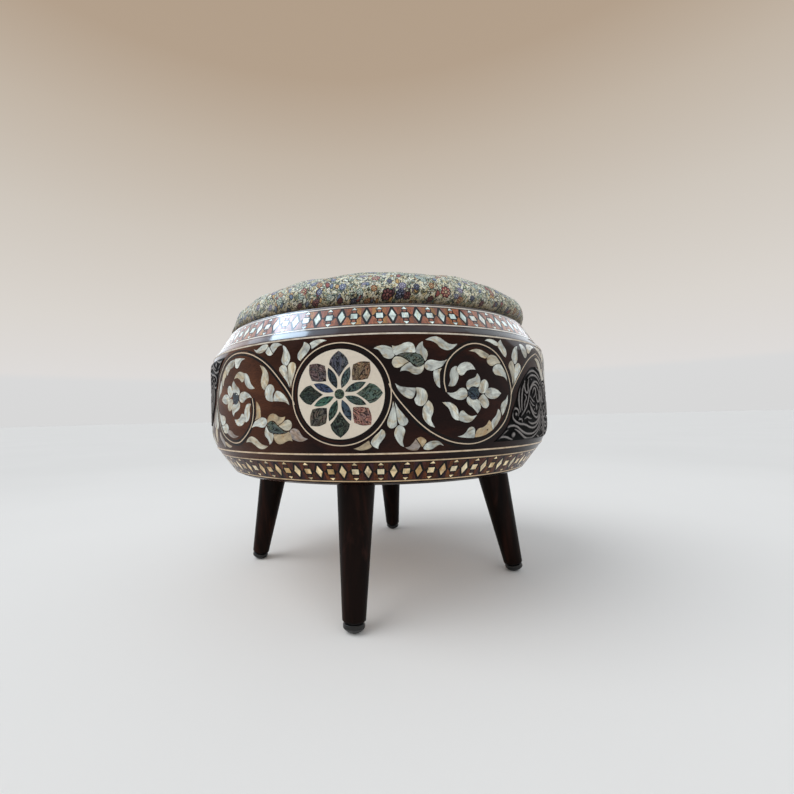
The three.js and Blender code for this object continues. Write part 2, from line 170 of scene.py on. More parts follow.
def opaque(color):
    """Red, green, blue and alpha of a screen code, a grey level or a linear colour."""
    if isinstance(color, str):
        color = srgb(color)
    elif not isinstance(color, tuple):
        color = (color,) * 3
    return (*color, 1.0)


class Nodes:
    """Short ways to add nodes; a colour may be a node's output or anything that opaque takes."""

    def __init__(self, owner):
        owner.use_nodes = True
        self.tree = owner.node_tree

    def add(self, kind, inputs=None, **settings):
        """A new node; inputs go by the socket's name or number."""
        node = self.tree.nodes.new("ShaderNode" + kind)
        for setting, value in settings.items():
            setattr(node, setting, value)
        for socket, value in (inputs or {}).items():
            self.feed(node.inputs[socket], value)
        return node

    def feed(self, socket, value):
        if isinstance(value, bpy.types.NodeSocket):
            self.tree.links.new(value, socket)
        else:
            socket.default_value = value

    def place(self, scale=(1.0, 1.0, 1.0)):
        """Object coordinates in metres, stretched by a scale."""
        return self.mapped(self.add("TexCoord").outputs["Object"], Scale=scale)

    def mapped(self, vector, **inputs):
        return self.add("Mapping", {"Vector": vector, **inputs}).outputs["Vector"]

    def attribute(self, name, output="Color"):
        return self.add("Attribute", attribute_name=name).outputs[output]

    def noise(self, vector, scale, detail=3.0, roughness=0.5, distortion=0.0):
        return self.add("TexNoise", {
            "Vector": vector, "Scale": scale, "Detail": detail, "Roughness": roughness,
            "Distortion": distortion}).outputs["Fac"]

    def ramp(self, factor, *stops):
        """Colours at rising positions from 0 to 1, blended between them."""
        node = self.add("ValToRGB", {"Fac": factor})
        elements = node.color_ramp.elements
        while len(elements) < len(stops):
            elements.new(0.5)
        for element, (position, color) in zip(elements, stops):
            element.position = position
            element.color = opaque(color)
        return node.outputs["Color"]

    def mix(self, factor, first, second, blend="MIX"):
        first, second = (value if isinstance(value, bpy.types.NodeSocket) else opaque(value)
                         for value in (first, second))
        inputs = {"Factor": factor, 6: first, 7: second}
        return self.add("Mix", inputs, data_type="RGBA", blend_type=blend).outputs[2]

    def times(self, first, second, amount=1.0):
        return self.mix(amount, first, second, "MULTIPLY")

    def math(self, operation, *values, clamp=False):
        inputs = dict(enumerate(values))
        return self.add("Math", inputs, operation=operation, use_clamp=clamp).outputs[0]


class Shader(Nodes):
    """A material whose surface is one Principled shader."""

    def __init__(self, name, **sockets):
        self.material = bpy.data.materials.new(name)
        super().__init__(self.material)
        self.principled = self.tree.nodes["Principled BSDF"]
        for socket, value in sockets.items():
            self.principled.inputs[socket.replace("_", " ")].default_value = value

    def color(self, value):
        self.feed(self.principled.inputs["Base Color"], value)

    def rough(self, value):
        self.feed(self.principled.inputs["Roughness"], value)

    def bump(self, height, distance, strength):
        node = self.add("Bump", {"Height": height, "Distance": distance, "Strength": strength})
        self.feed(self.principled.inputs["Normal"], node.outputs["Normal"])


def lacquered(name, rough, specular, coat=0.6, ior=1.25, coat_rough=0.1):
    """A material under clear lacquer."""
    return Shader(name, Coat_Weight=coat, Coat_IOR=ior, Coat_Roughness=coat_rough, Roughness=rough,
                  Specular_IOR_Level=specular)


def lacquered_walnut():
    """Dark figured veneer that turns brown towards the drum's left side, partly a browner veneer and
    partly painted light from the left.
    """
    s = lacquered("lacquered_walnut", 0.5, 0.02)
    figure = s.noise(s.place((1.0, 1.0, 2.6)), 9.0, 3.0, 0.55, 0.6)
    pores = s.noise(s.place((1.0, 1.0, 4.0)), 260.0, 4.0, 0.7)
    dark = s.ramp(figure, (0.32, "0f0605"), (0.5, "190b09"), (0.68, "2e150d"))
    brown = s.ramp(figure, (0.32, "30190e"), (0.5, "48291a"), (0.68, "6a4128"))
    # brown towards the left: partly a browner veneer, partly painted light from the left
    side = s.add("SeparateXYZ", {"Vector": s.place()}).outputs["X"]
    sheet_and_painted_light = s.math("ADD", side, s.math("MULTIPLY", figure, 0.12))
    share = s.math("MULTIPLY", s.math("ADD", sheet_and_painted_light, 0.3), 2.5)
    tone = s.mix(s.ramp(share, (0.64, 1), (0.84, 0)), dark, brown)
    speck = s.ramp(pores, (0.3, (0.5, 0.45, 0.45)), (0.5, 1.0), (0.72, (1.5, 1.4, 1.3)))
    s.color(s.times(tone, speck, 0.75))
    s.bump(s.noise(s.place(), 38.0, 1.0), 0.00025, 0.35)
    return s.material


def leg_lacquer():
    """Nearly black lacquer, worn brown in patches."""
    s = lacquered("leg_lacquer", 0.5, 0.02, coat=0.3, coat_rough=0.2)
    figure = s.noise(s.place((1.0, 1.0, 0.12)), 60.0, 4.0, 0.6, 0.6)
    wear = s.noise(s.place((1.0, 1.0, 0.4)), 26.0, 5.0, 0.65)
    tone = s.ramp(figure, (0.34, "080403"), (0.55, "130906"), (0.72, "28140e"))
    s.color(s.mix(s.ramp(wear, (0.6, 0), (0.78, 1)), tone, "38201a"))
    s.rough(s.ramp(wear, (0.3, 0.4), (0.7, 0.6)))
    s.bump(figure, 0.0004, 0.4)
    return s.material


def flow_noise(s, stretch, detail, roughness, distortion):
    """Noise in each inlay piece's own flow coordinates, which are in millimetres."""
    placed = s.mapped(s.attribute("flow", "Vector"), Scale=stretch)
    return s.noise(placed, 1.0, detail, roughness, distortion)


def tinted(name, stretch, light, dark, amount):
    """Bone or wood inlay: each piece's own tint, with streaks along the piece."""
    s = lacquered(name, 0.35, 0.04)
    bands = flow_noise(s, stretch, 4.0, 0.6, 1.2)
    shade = s.ramp(bands, (0.32, dark), (0.5, 1.0), (0.68, light))
    s.color(s.times(s.attribute("tint"), shade, amount))
    s.bump(bands, 0.0001, 0.5)
    return s.material


def pearl():
    """Mother of pearl: silver and white zones with tan and grey patches, and fine growth lines."""
    s = lacquered("mother_of_pearl", 0.3, 0.15, ior=1.3)
    clouds = flow_noise(s, (0.07, 0.13, 1.0), 2.0, 0.5, 1.4)
    patches = flow_noise(s, (0.11, 0.2, 1.7), 2.0, 0.5, 0.8)
    lines = flow_noise(s, (0.16, 0.95, 1.0), 4.0, 0.7, 1.6)
    light = s.ramp(clouds, (0.28, (0.5, 0.51, 0.52)), (0.42, (0.86, 0.87, 0.87)),
                   (0.55, (1.05, 1.06, 1.05)), (0.66, (1.3, 1.32, 1.3)), (0.78, (0.8, 0.8, 0.82)))
    warm = s.ramp(patches, (0.5, 1.0), (0.6, (0.96, 0.84, 0.7)), (0.68, (0.82, 0.66, 0.5)),
                  (0.8, (0.8, 0.72, 0.72)))
    streak = s.ramp(lines, (0.3, (0.6, 0.58, 0.56)), (0.5, 1.0), (0.7, (1.2, 1.2, 1.18)))
    s.color(s.times(s.times(s.times(s.attribute("tint"), light), warm, 0.9), streak, 0.75))
    s.bump(lines, 0.00015, 0.5)
    return s.material


def abalone():
    """Dark shell: black swirled lines over blue, green, rose and grey waves."""
    s = lacquered("abalone_shell", 0.3, 0.1, coat_rough=0.08)
    waves = flow_noise(s, (0.08, 0.15, 1.0), 2.0, 0.6, 1.6)
    veins = flow_noise(s, (0.07, 0.13, 2.3), 2.0, 0.6, 1.8)
    hue = s.ramp(waves, (0.3, (0.38, 0.38, 0.45)), (0.41, (0.6, 0.68, 0.75)), (0.48, (0.66, 0.8, 0.7)),
                 (0.55, (0.88, 0.78, 0.68)), (0.63, (0.62, 0.56, 0.64)), (0.72, (1.5, 1.45, 1.3)))
    rings = s.math("PINGPONG", s.math("MULTIPLY", veins, 6.0), 0.5)
    dark = s.ramp(rings, (0.08, (0.05, 0.05, 0.06)), (0.19, 0.55), (0.36, 1.6))
    s.color(s.times(s.times(s.attribute("tint"), hue), dark, 0.95))
    s.bump(veins, 0.00015, 0.5)
    return s.material


def string_bone():
    """Bone strings, yellower at the foot of the drum and paler and bluer at its head."""
    s = lacquered("bone_string", 0.35, 0.1)
    height = s.add("SeparateXYZ", {"Vector": s.place()}).outputs["Z"]
    height_tint = s.ramp(s.math("MULTIPLY", height, 2.5), (0.42, (1.0, 0.86, 0.66)), (0.47, 1.0), (0.69, 1.0),
                 (0.73, (1.0, 1.07, 1.16)))
    spots = s.noise(s.place(), 90.0, 4.0, 0.6)
    s.color(s.times(s.ramp(spots, (0.3, "a4927c"), (0.5, "cbbba6"), (0.7, "dccfbd")), height_tint))
    return s.material


def ebonised():
    s = lacquered("ebonised_wood", 0.5, 0.05)
    fibre = s.noise(s.place((1.0, 1.0, 0.1)), 260.0, 3.0, 0.6)
    s.color(s.ramp(fibre, (0.3, "060505"), (0.7, "120b0c")))
    return s.material


def carved_black():
    """Carved ebonised wood: black ground deepened by painted shade in the hollows, ridges a dull grey
    that is partly rubbed wear and partly painted highlight.
    """
    s = Shader("carved_black_wood", Roughness=0.55, Specular_IOR_Level=0.04)
    rub = s.noise(s.place(), 320.0, 4.0, 0.65)
    worn = s.math("MULTIPLY_ADD", rub, 0.35, -0.18)
    # colour by relief height: painted shade blackens the sunk ground, a painted highlight lightens the
    # ridge tops, the noise adds rubbed wear
    level = s.math("ADD", s.attribute("relief", "Fac"), worn, clamp=True)
    s.color(s.ramp(level, (0.25, "020202"), (0.45, "1c1b1d"), (0.68, "524f4e"), (1.0, "908b88")))
    s.bump(rub, 0.0003, 0.4)
    return s.material


def brocade():
    """Woven millefleur brocade.

    The mesh says where things are: cloth holds flat cloth coordinates in millimetres, bloom the
    place inside the nearest flower, 1 at its edge, bloom_on where flowers are, petal, edge and heart
    their colours, and rim is 1 where painted shade darkens the cloth most, at its neck.
    """
    s = Shader("millefleur_brocade", Roughness=0.72, Sheen_Weight=0.25, Sheen_Roughness=0.4,
               Specular_IOR_Level=0.25)
    cloth = s.attribute("cloth", "Vector")
    warped = wobble(s, cloth, 0.12, 4.0)
    ground = s.ramp(s.noise(warped, 0.045, 3.0, 0.62), (0.32, "9fae95"), (0.43, "cdd2ab"),
                    (0.5, "e0d490"), (0.58, "aed2c4"), (0.68, "e8deae"))
    color, height = vermicelli(s, warped, ground)
    color, height = sprigs(s, warped, color, height)
    mask, bloom, relief = blossoms(s)
    color = s.mix(mask, color, bloom)
    height = s.math("MAXIMUM", height, s.math("MULTIPLY", mask, relief))
    # painted shade: the cloth turns dark brown towards its neck
    color = s.mix(s.attribute("rim", "Fac"), color, s.times(color, "95754b"))
    weave = weave_height(s, cloth)
    # painted highlight on the thread crests and painted shade between the threads
    s.color(s.times(color, s.ramp(weave, (0.0, 0.5), (1.0, 1.3)), 0.2))
    s.bump(s.math("ADD", s.math("MULTIPLY", height, 0.8), s.math("MULTIPLY", weave, 0.35)), 0.0014, 0.9)
    return s.material


def wobble(s, vector, scale, reach):
    """The vector shifted by a soft noise, in its own units."""
    drift = s.add("TexNoise", {"Vector": vector, "Scale": scale, "Detail": 1.0}).outputs["Color"]
    centred = s.add("VectorMath", {0: drift, 1: (0.5, 0.5, 0.5)}, operation="SUBTRACT")
    scaled = s.add("VectorMath", {0: centred.outputs[0], "Scale": reach}, operation="SCALE")
    return s.add("VectorMath", {0: vector, 1: scaled.outputs[0]}, operation="ADD").outputs[0]


# Fine woven strokes: noise scale, stretch, level, half width and colour of each set
STROKES = [
    (0.14, (1.0, 1.9, 1.0), 0.5, 0.05, "1e1b10"),
    (0.14, (1.0, 1.9, 1.0), 0.59, 0.05, "faf4d4"),
    (0.17, (1.8, 1.0, 1.0), 0.47, 0.035, "574a2c"),
    (0.17, (1.8, 1.0, 1.0), 0.54, 0.035, "d2bb78"),
    (0.13, (1.2, 1.5, 1.0), 0.44, 0.04, "f4faee"),
    (0.13, (1.2, 1.5, 1.0), 0.56, 0.026, "5c8378"),
    (0.19, (1.4, 1.0, 1.0), 0.42, 0.035, "14120e"),
    (0.19, (1.4, 1.0, 1.0), 0.6, 0.03, "f0e8c8"),
]


def vermicelli(s, cloth, color):
    """Curling woven strokes over the ground, and their height."""
    height = 0.0
    for k, (scale, stretch, level, half, code) in enumerate(STROKES):
        placed = s.mapped(cloth, Scale=stretch, Rotation=(0, 0, 0.5 * (k // 2)))
        field = s.noise(placed, scale, 1.5, 0.55, 1.0)
        away = s.math("ABSOLUTE", s.math("SUBTRACT", field, level))
        mask = s.ramp(away, (half * 0.7, 1), (half * 1.2, 0))
        color = s.mix(mask, color, code)
        height = s.math("MAXIMUM", mask, height)
    return color, height


# Small leaves and buds: cell size, size, share of cells used, colour and outline
SPRIGS = [
    (7.0, 0.27, 0.3, "b4c4a8", "2c2a20"), (8.0, 0.26, 0.2, "c8a468", "4a2c16"),
    (9.0, 0.24, 0.22, "71839e", "20263c"), (10.0, 0.25, 0.16, "9a5048", "2c1012"),
    (8.5, 0.25, 0.22, "dbe2d4", "2f3c38"),
]


def sprigs(s, cloth, color, height):
    """Scattered oval buds with dark outlines."""
    for k, (cell, size, share, fill, outline) in enumerate(SPRIGS):
        placed = s.mapped(cloth, Rotation=(0, 0, 0.8 * k), Scale=(1.0, 0.62, 1.0),
                          Location=(13.0 * k, 7.0 * k, 0.0))
        inputs = {"Vector": placed, "Scale": 1.0 / cell, "Randomness": 0.9}
        cells = s.add("TexVoronoi", inputs, voronoi_dimensions="2D").outputs
        pick = s.add("SeparateColor", {"Color": cells["Color"]}).outputs["Red"]
        tone = s.ramp(cells["Distance"], (0.0, fill), (size * 0.62, fill), (size * 0.74, outline))
        mask = s.math("MULTIPLY", s.math("LESS_THAN", pick, share),
                      s.math("LESS_THAN", cells["Distance"], size))
        color = s.mix(mask, color, tone)
        height = s.math("MAXIMUM", height, mask)
    return color, height


def blossoms(s):
    """Mask, colour and height of the larger flowers, from the cushion's own attributes."""
    petal, edge, heart = (s.attribute(name) for name in ("petal", "edge", "heart"))
    drift = wobble(s, s.attribute("bloom", "Vector"), 1.6, 0.3)
    parts = s.add("SeparateXYZ", {"Vector": drift}).outputs
    squares = (s.math("POWER", parts[axis], 2.0) for axis in ("X", "Y"))
    reach = s.math("SQRT", s.math("ADD", *squares))
    angle = s.math("ARCTAN2", parts["Y"], parts["X"])
    lobes = s.math("ABSOLUTE", s.math("COSINE", s.math("MULTIPLY", angle, 3.5)))
    share = s.math("DIVIDE", reach, s.math("MULTIPLY_ADD", lobes, 0.2, 0.8))
    on = s.math("GREATER_THAN", s.attribute("bloom_on", "Fac"), 0.5)
    mask = s.math("MULTIPLY", on, s.math("LESS_THAN", share, 1.0))
    spokes = s.math("COSINE", s.math("MULTIPLY", angle, 7.0))
    rays = s.math("GREATER_THAN", spokes, 0.35)
    strokes = s.ramp(share, (0.3, 1), (0.66, 1), (0.72, 0))
    petals = s.mix(s.math("MULTIPLY", s.math("MULTIPLY", rays, strokes), 0.75), petal, heart)
    petals = s.mix(s.math("GREATER_THAN", spokes, -0.75), edge, petals)
    rim = s.ramp(share, (0.8, 0), (0.86, 1))
    ring = s.ramp(share, (0.2, 0), (0.24, 1), (0.34, 1), (0.38, 0))
    core = s.ramp(share, (0.19, 1), (0.22, 0))
    color = s.mix(core, s.mix(ring, s.mix(rim, petals, edge), edge), heart)
    return mask, color, s.ramp(share, (0.0, 0.6), (0.5, 1.0), (1.0, 0.3))


def weave_height(s, cloth):
    """Twill of fine warp and weft threads."""
    waves = [s.add("TexWave", {
        "Vector": s.mapped(cloth, Rotation=(0, 0, turn)), "Scale": scale, "Distortion": 0.6,
        "Detail": 1.0}).outputs["Fac"] for turn, scale in ((0.0, 0.3125), (math.pi / 2, 0.275))]
    return s.math("MAXIMUM", *waves)


def plain(name, code, rough, metallic=0.0, scale=300.0, spread=0.12):
    """A simple moulded or plated surface, or the lip's painted reflection, with slight mottling."""
    s = Shader(name, Metallic=metallic)
    spots = s.noise(s.place(), scale, 3.0, 0.6)
    dark, light = (tuple(c * share for c in srgb(code)) for share in (1 - spread, 1 + spread))
    s.color(s.ramp(spots, (0.3, dark), (0.7, light)))
    s.rough(s.ramp(spots, (0.3, rough * 0.85), (0.7, rough * 1.1)))
    s.bump(spots, 0.0001, 0.4)
    return s.material


def raw_wood():
    s = Shader("bare_plywood", Roughness=0.75)
    grain = s.noise(s.place((0.12, 1.0, 1.0)), 140.0, 4.0, 0.6, 0.5)
    s.color(s.ramp(grain, (0.3, "7a5a38"), (0.7, "a88258")))
    s.bump(grain, 0.0003, 0.5)
    return s.material


WALNUT = lacquered_walnut()
LEG = leg_lacquer()
PEARL = pearl()
ABALONE = abalone()
STRING = string_bone()
EBONY = ebonised()
CARVED = carved_black()
DISC_BONE = tinted("bone_disc", (0.3, 0.35, 1.0), (1.04, 1.03, 1.0), (0.93, 0.92, 0.9), 0.8)
WEDGE_WOOD = tinted("marquetry_wood", (0.2, 0.5, 1.0), (1.7, 1.5, 1.3), (0.45, 0.4, 0.42), 0.9)
FABRIC = brocade()
STEEL = plain("zinc_steel", "9c9ea0", 0.35, 1.0)
BRASS = plain("insert_brass", "b08d4f", 0.35, 1.0)
PLASTIC = plain("black_pad_plastic", "050506", 0.42, scale=900.0)
BARE_WOOD = raw_wood()
# grey painted reflection on the rounded lip of the upper rim
LIP_PAINTED_REFLECTION = plain("lip_painted_reflection", "6f6a69", 0.4, scale=160.0, spread=0.3)


# Mesh building


def make_object(name, points, faces, material, sharp):
    """A mesh object from points in millimetres, smooth but for its sharp edges."""
    mesh = bpy.data.meshes.new(name)
    mesh.from_pydata([tuple(c * MM for c in point) for point in points], [], faces)
    mesh.materials.append(material)
    mesh.shade_smooth()
    mesh.set_sharp_from_angle(angle=math.radians(sharp))
    obj = bpy.data.objects.new(name, mesh)
    bpy.context.scene.collection.objects.link(obj)
    return obj


def turned(name, profile, material, sides=DRUM_SIDES, place=None, sharp=35.0):
    """A closed solid of revolution from (radius, height) points, going up on the outside."""
    points, rings = [], []
    for radius, height in profile:
        if radius == 0:
            rings.append([len(points)] * sides)
            points.append((0.0, 0.0, height))
        else:
            rings.append(list(range(len(points), len(points) + sides)))
            points += [(radius * math.cos(a), radius * math.sin(a), height)
                       for a in (FULL_TURN * k / sides for k in range(sides))]
    faces = []
    pairs = list(zip(rings, rings[1:]))
    if profile[0][0] != 0:
        pairs.append((rings[-1], rings[0]))
    for low, high in pairs:
        for k in range(sides):
            n = (k + 1) % sides
            face = [low[k], low[n], high[n], high[k]]
            unique = [v for i, v in enumerate(face) if v not in face[:i]]
            if len(unique) > 2:
                faces.append(unique)
    if place:
        points = [place(*point) for point in points]
    return make_object(name, points, faces, material, sharp)


def write_attribute(mesh, name, kind, field, values):
    """One value for each point of a mesh."""
    attribute = mesh.attributes.new(name, kind, "POINT")
    attribute.data.foreach_set(field, np.asarray(values, np.float32).ravel())


def finish_piece(obj, body, slot, *nodes):
    """Says which body a piece rides on and the CAD nodes it replaces; slot is not used."""
    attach(obj, body)
    if nodes:
        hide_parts(*nodes)


def wall_radius(z):
    """The wall draws in towards its foot and its head."""
    foot = max(0.0, 1 - (z - WALL_FOOT_Z) / WALL_FOOT_CURVE)
    head = max(0.0, 1 - (WALL_HEAD_Z - z) / WALL_HEAD_CURVE)
    return DRUM_RADIUS - WALL_FOOT_INSET * foot ** 2 - WALL_HEAD_INSET * head ** 2


def on_wall(u, z, proud):
    """A point on the drum's wall."""
    angle = u / DRUM_RADIUS
    radius = wall_radius(z) + proud
    return (radius * math.sin(angle), -radius * math.cos(angle), z)


class Bevel:
    """A conical rim face; x runs round it on its middle radius and s up it from its foot."""

    def __init__(self, foot, head):
        self.foot = Vector(foot)
        along = Vector(head) - self.foot
        self.length = along.length
        self.along = along.normalized()
        self.outward = Vector((self.along.y, -self.along.x))
        self.middle_radius = (foot[0] + head[0]) / 2

    def section(self, s, proud):
        return tuple(self.foot + self.along * s + self.outward * proud)

    def strip(self, start, end, proud):
        """Section of a let-in ring from one height on the face to another."""
        return [self.section(start, proud), self.section(end, proud),
                self.section(end, -INLAY_DEPTH), self.section(start, -INLAY_DEPTH)]

    def __call__(self, x, s, proud):
        radius, height = self.section(s, proud)
        angle = x / self.middle_radius
        return (radius * math.sin(angle), -radius * math.cos(angle), height)


UPPER = Bevel(UPPER_FOOT, UPPER_HEAD)
LOWER = Bevel(LOWER_FOOT, LOWER_HEAD)


def smooth_outline(points, step=1.3):
    """Closed curve through (x, y) points; a point with a third value is a sharp tip."""
    count = len(points)
    out = []
    for k in range(count):
        start, end = points[k], points[(k + 1) % count]
        a, b = Vector(start[:2]), Vector(end[:2])
        before = 2 * a - b if len(start) > 2 else Vector(points[k - 1][:2])
        after = 2 * b - a if len(end) > 2 else Vector(points[(k + 2) % count][:2])
        pieces = max(1, round((b - a).length / step))
        for i in range(pieces):
            t = i / pieces
            out.append(0.5 * (2 * a + (b - before) * t + (2 * before - 5 * a + 4 * b - after) * t * t
                              + (3 * a - before - 3 * b + after) * t ** 3))
    return out


def open_curve(points):
    """Open curve through (x, y) points."""
    marked = [(*points[0], T), *points[1:-1], (*points[-1], T)]
    closed = smooth_outline(marked, 1.5)
    last = Vector(points[-1])
    end = min(range(len(closed)), key=lambda k: (closed[k] - last).length)
    return closed[:end + 1]


def inset(points, distance):
    """The outline drawn in by a small distance."""
    area = sum(points[k - 1].cross(points[k]) for k in range(len(points)))
    side = 1 if area > 0 else -1
    out = []
    for k, point in enumerate(points):
        before = (point - points[k - 1]).normalized()
        after = (points[(k + 1) % len(points)] - point).normalized()
        inward = Vector((-before.y - after.y, before.x + after.x)) * side
        if inward.length < 1e-6:
            out.append(point)
            continue
        inward.normalize()
        spread = max(0.35, abs(inward.dot(Vector((-before.y, before.x)))))
        out.append(point + inward * (distance / spread))
    return out


def contains(outline, x, y):
    """Whether a point lies inside a closed outline."""
    inside = False
    for k, b in enumerate(outline):
        a = outline[k - 1]
        if (a.y > y) != (b.y > y) and x < (b.x - a.x) * (y - a.y) / (b.y - a.y) + a.x:
            inside = not inside
    return inside


class Inlay:
    """Thin pieces laid on a curved surface, gathered into one mesh with a tint for each piece."""

    def __init__(self, surface, proud=PIECE_PROUD, spacing=5.0):
        self.surface = surface
        self.proud = proud
        self.spacing = spacing
        self.points, self.faces, self.tints, self.flows = [], [], [], []
        self.count = 0

    def patch(self, outline, tint=(1.0, 1.0, 1.0), turn=None):
        """One piece with the given closed outline."""
        flat = triangulate(outline, self.spacing)
        if flat:
            self.shell(*flat, tint, turn)

    def ribbon(self, curve, width, tint=(1.0, 1.0, 1.0), closed=False):
        """A strip of even width along a curve."""
        count = len(curve)
        left, right = [], []
        for k, point in enumerate(curve):
            before = curve[k - 1] if k or closed else point
            after = curve[(k + 1) % count] if k + 1 < count or closed else point
            along = (after - before).normalized()
            across = Vector((-along.y, along.x)) * (width / 2)
            left.append(point + across)
            right.append(point - across)
        last = count if closed else count - 1
        quads = [[k, count + k, count + (k + 1) % count, (k + 1) % count] for k in range(last)]
        self.shell(left + right, quads, tint, None)

    def shell(self, spots, faces, tint, turn):
        """Top, underside and edges of one piece, and its tint and flow coordinates."""
        ordered = []
        for face in faces:
            corners_2d = [spots[v] for v in face]
            area = sum(corners_2d[k - 1].cross(corners_2d[k]) for k in range(len(face)))
            if abs(area) > 1e-9:
                ordered.append(list(face) if area > 0 else list(reversed(face)))
        base = len(self.points)
        count = len(spots)
        centre = sum(spots, Vector((0, 0))) / count
        angle = main_direction(spots, centre) if turn is None else turn
        cosine, sine = math.cos(angle), math.sin(angle)
        for level in (self.proud, self.proud - INLAY_DEPTH):
            for spot in spots:
                self.points.append(self.surface(spot.x, spot.y, level))
                arm = spot - centre
                self.flows.append((arm.x * cosine + arm.y * sine, arm.y * cosine - arm.x * sine,
                                   self.count * 17.0))
        self.tints += [tint] * (2 * count)
        self.count += 1
        edges = {}
        for face in ordered:
            self.faces.append([base + v for v in face])
            self.faces.append([base + count + v for v in reversed(face)])
            for k, vertex in enumerate(face):
                edges[(face[k - 1], vertex)] = True
        for a, b in edges:
            if (b, a) not in edges:
                self.faces.append([base + b, base + a, base + count + a, base + count + b])

    def build(self, name, material, slot="bone", nodes=()):
        obj = make_object(name, self.points, self.faces, material, 30.0)
        write_attribute(obj.data, "tint", "FLOAT_COLOR", "color", [(*tint, 1.0) for tint in self.tints])
        write_attribute(obj.data, "flow", "FLOAT_VECTOR", "vector", self.flows)
        finish_piece(obj, "drum", slot, *nodes)
        return obj


EDGE_CLEARANCE = 0.35  # of the inner points from the outline, as a share of their spacing


def triangulate(outline, spacing):
    """Points and triangles that fill an outline, with inner points a spacing apart."""
    low_x, high_x = min(p.x for p in outline), max(p.x for p in outline)
    low_y, high_y = min(p.y for p in outline), max(p.y for p in outline)
    inner = []
    shrunk = inset(outline, spacing * EDGE_CLEARANCE)
    for i in range(1, int((high_x - low_x) / spacing) + 1):
        for j in range(1, int((high_y - low_y) / spacing) + 1):
            x, y = low_x + i * spacing, low_y + j * spacing
            if contains(outline, x, y) and contains(shrunk, x, y):
                inner.append(Vector((x, y)))
    ring = list(range(len(outline)))
    spots, _, faces, *_ = geometry.delaunay_2d_cdt(outline + inner, [], [ring], 1, 1e-5)
    return [Vector(p) for p in spots], [list(f) for f in faces]


def main_direction(spots, centre):
    """Angle of the longest direction of a set of points."""
    xx = sum((p.x - centre.x) ** 2 for p in spots)
    yy = sum((p.y - centre.y) ** 2 for p in spots)
    xy = sum((p.x - centre.x) * (p.y - centre.y) for p in spots)
    return 0.5 * math.atan2(2 * xy, xx - yy)


def jitter(color, amount):
    """A colour made a little lighter or darker at random."""
    factor = 1 + random.uniform(-amount, amount)
    return tuple(c * factor for c in color)


# Drum


def lacquer_ring(name, profile, *nodes):
    finish_piece(turned(name, profile, WALNUT), "drum", "walnut_lacquer", *nodes)


def build_wall():
    height = WALL_HEAD_Z - WALL_FOOT_Z
    outer = [(wall_radius(z), z)
             for z in (WALL_FOOT_Z + height * k / WALL_STEPS for k in range(WALL_STEPS + 1))]
    profile = [*outer, (WALL_INNER_RADIUS, WALL_HEAD_Z), (WALL_INNER_RADIUS, WALL_FOOT_Z)]
    lacquer_ring("drum_wall_lacquered", profile, "drum_wall")


def rounded(corner, before, after, radius):
    """Points of a small round that takes the place of a corner of a profile."""
    a = Vector(corner) + (Vector(before) - Vector(corner)).normalized() * radius
    b = Vector(corner) + (Vector(after) - Vector(corner)).normalized() * radius
    c = Vector(corner)
    return [tuple(a * (1 - t) ** 2 + c * 2 * t * (1 - t) + b * t * t)
            for t in (k / ROUND_STEPS for k in range(ROUND_STEPS + 1))]


# Radii of the rounded edges of the rims, and the width of the lacquer under the lower one
SHARP_ROUND = 0.6
EDGE_ROUND = 1.6
SHOULDER_ROUND = 2.0
BASE_EDGE_WIDTH = 4


def build_rims():
    lower_inner = (LOWER_INNER_RADIUS, LOWER_FOOT[1])
    lacquer_ring("lower_rim_lacquered", [
        lower_inner,
        *rounded(LOWER_FOOT, lower_inner, LOWER_HEAD, SHARP_ROUND),
        *rounded(LOWER_HEAD, LOWER_FOOT, (WALL_FOOT_RADIUS, LOWER_RIM_HEAD_Z), EDGE_ROUND),
        (WALL_FOOT_RADIUS, LOWER_RIM_HEAD_Z - STRING_WIDTH - GAP),
        (WALL_FOOT_RADIUS, LOWER_RIM_HEAD_Z + GAP),
        (WALL_INNER_RADIUS, LOWER_RIM_HEAD_Z + GAP), (LOWER_INNER_RADIUS, BASE_TOP_Z),
    ], "lower_rim")
    shoulder = (WALL_HEAD_RADIUS, UPPER_RIM_FOOT_Z + STRING_WIDTH + GAP)
    lip = (LIP_RADIUS, LIP_Z)
    rebate = (REBATE_RADIUS, LIP_Z)
    ledge_foot_z = LEDGE_Z - LEDGE_THICKNESS
    lacquer_ring("upper_rim_lacquered", [
        (WALL_INNER_RADIUS, UPPER_RIM_FOOT_Z - GAP), (WALL_HEAD_RADIUS, UPPER_RIM_FOOT_Z - GAP),
        *rounded(shoulder, (WALL_HEAD_RADIUS, UPPER_RIM_FOOT_Z), UPPER_FOOT, SHOULDER_ROUND),
        *rounded(UPPER_FOOT, shoulder, UPPER_HEAD, EDGE_ROUND),
        *rounded(UPPER_HEAD, UPPER_FOOT, lip, SHARP_ROUND),
        *rounded(lip, UPPER_HEAD, rebate, SHARP_ROUND),
        rebate, (REBATE_RADIUS, LEDGE_Z), (LEDGE_RADIUS, LEDGE_Z),
        (LEDGE_RADIUS, ledge_foot_z), (WALL_INNER_RADIUS, ledge_foot_z),
    ], "upper_rim")
    low, high = UNDERSIDE_Z - VEIL, LOWER_FOOT[1] - GAP + VEIL
    lacquer_ring("base_edge_lacquered", [
        (LOWER_EDGE_RADIUS - BASE_EDGE_WIDTH, low), (LOWER_EDGE_RADIUS + VEIL, low),
        (LOWER_FOOT[0], high), (LOWER_EDGE_RADIUS, high),
    ])


# Grey edge of the upper rim, a painted reflection on its rounded lip: section from the bevel's head,
# then from the lip's outer edge
LIP_BEVEL_OFFSET = (0.12, -0.1)
LIP_OFFSETS = [(0.12, 0.02), (-3.5, 0.1), (-3.5, -0.6), (-1, -0.9)]


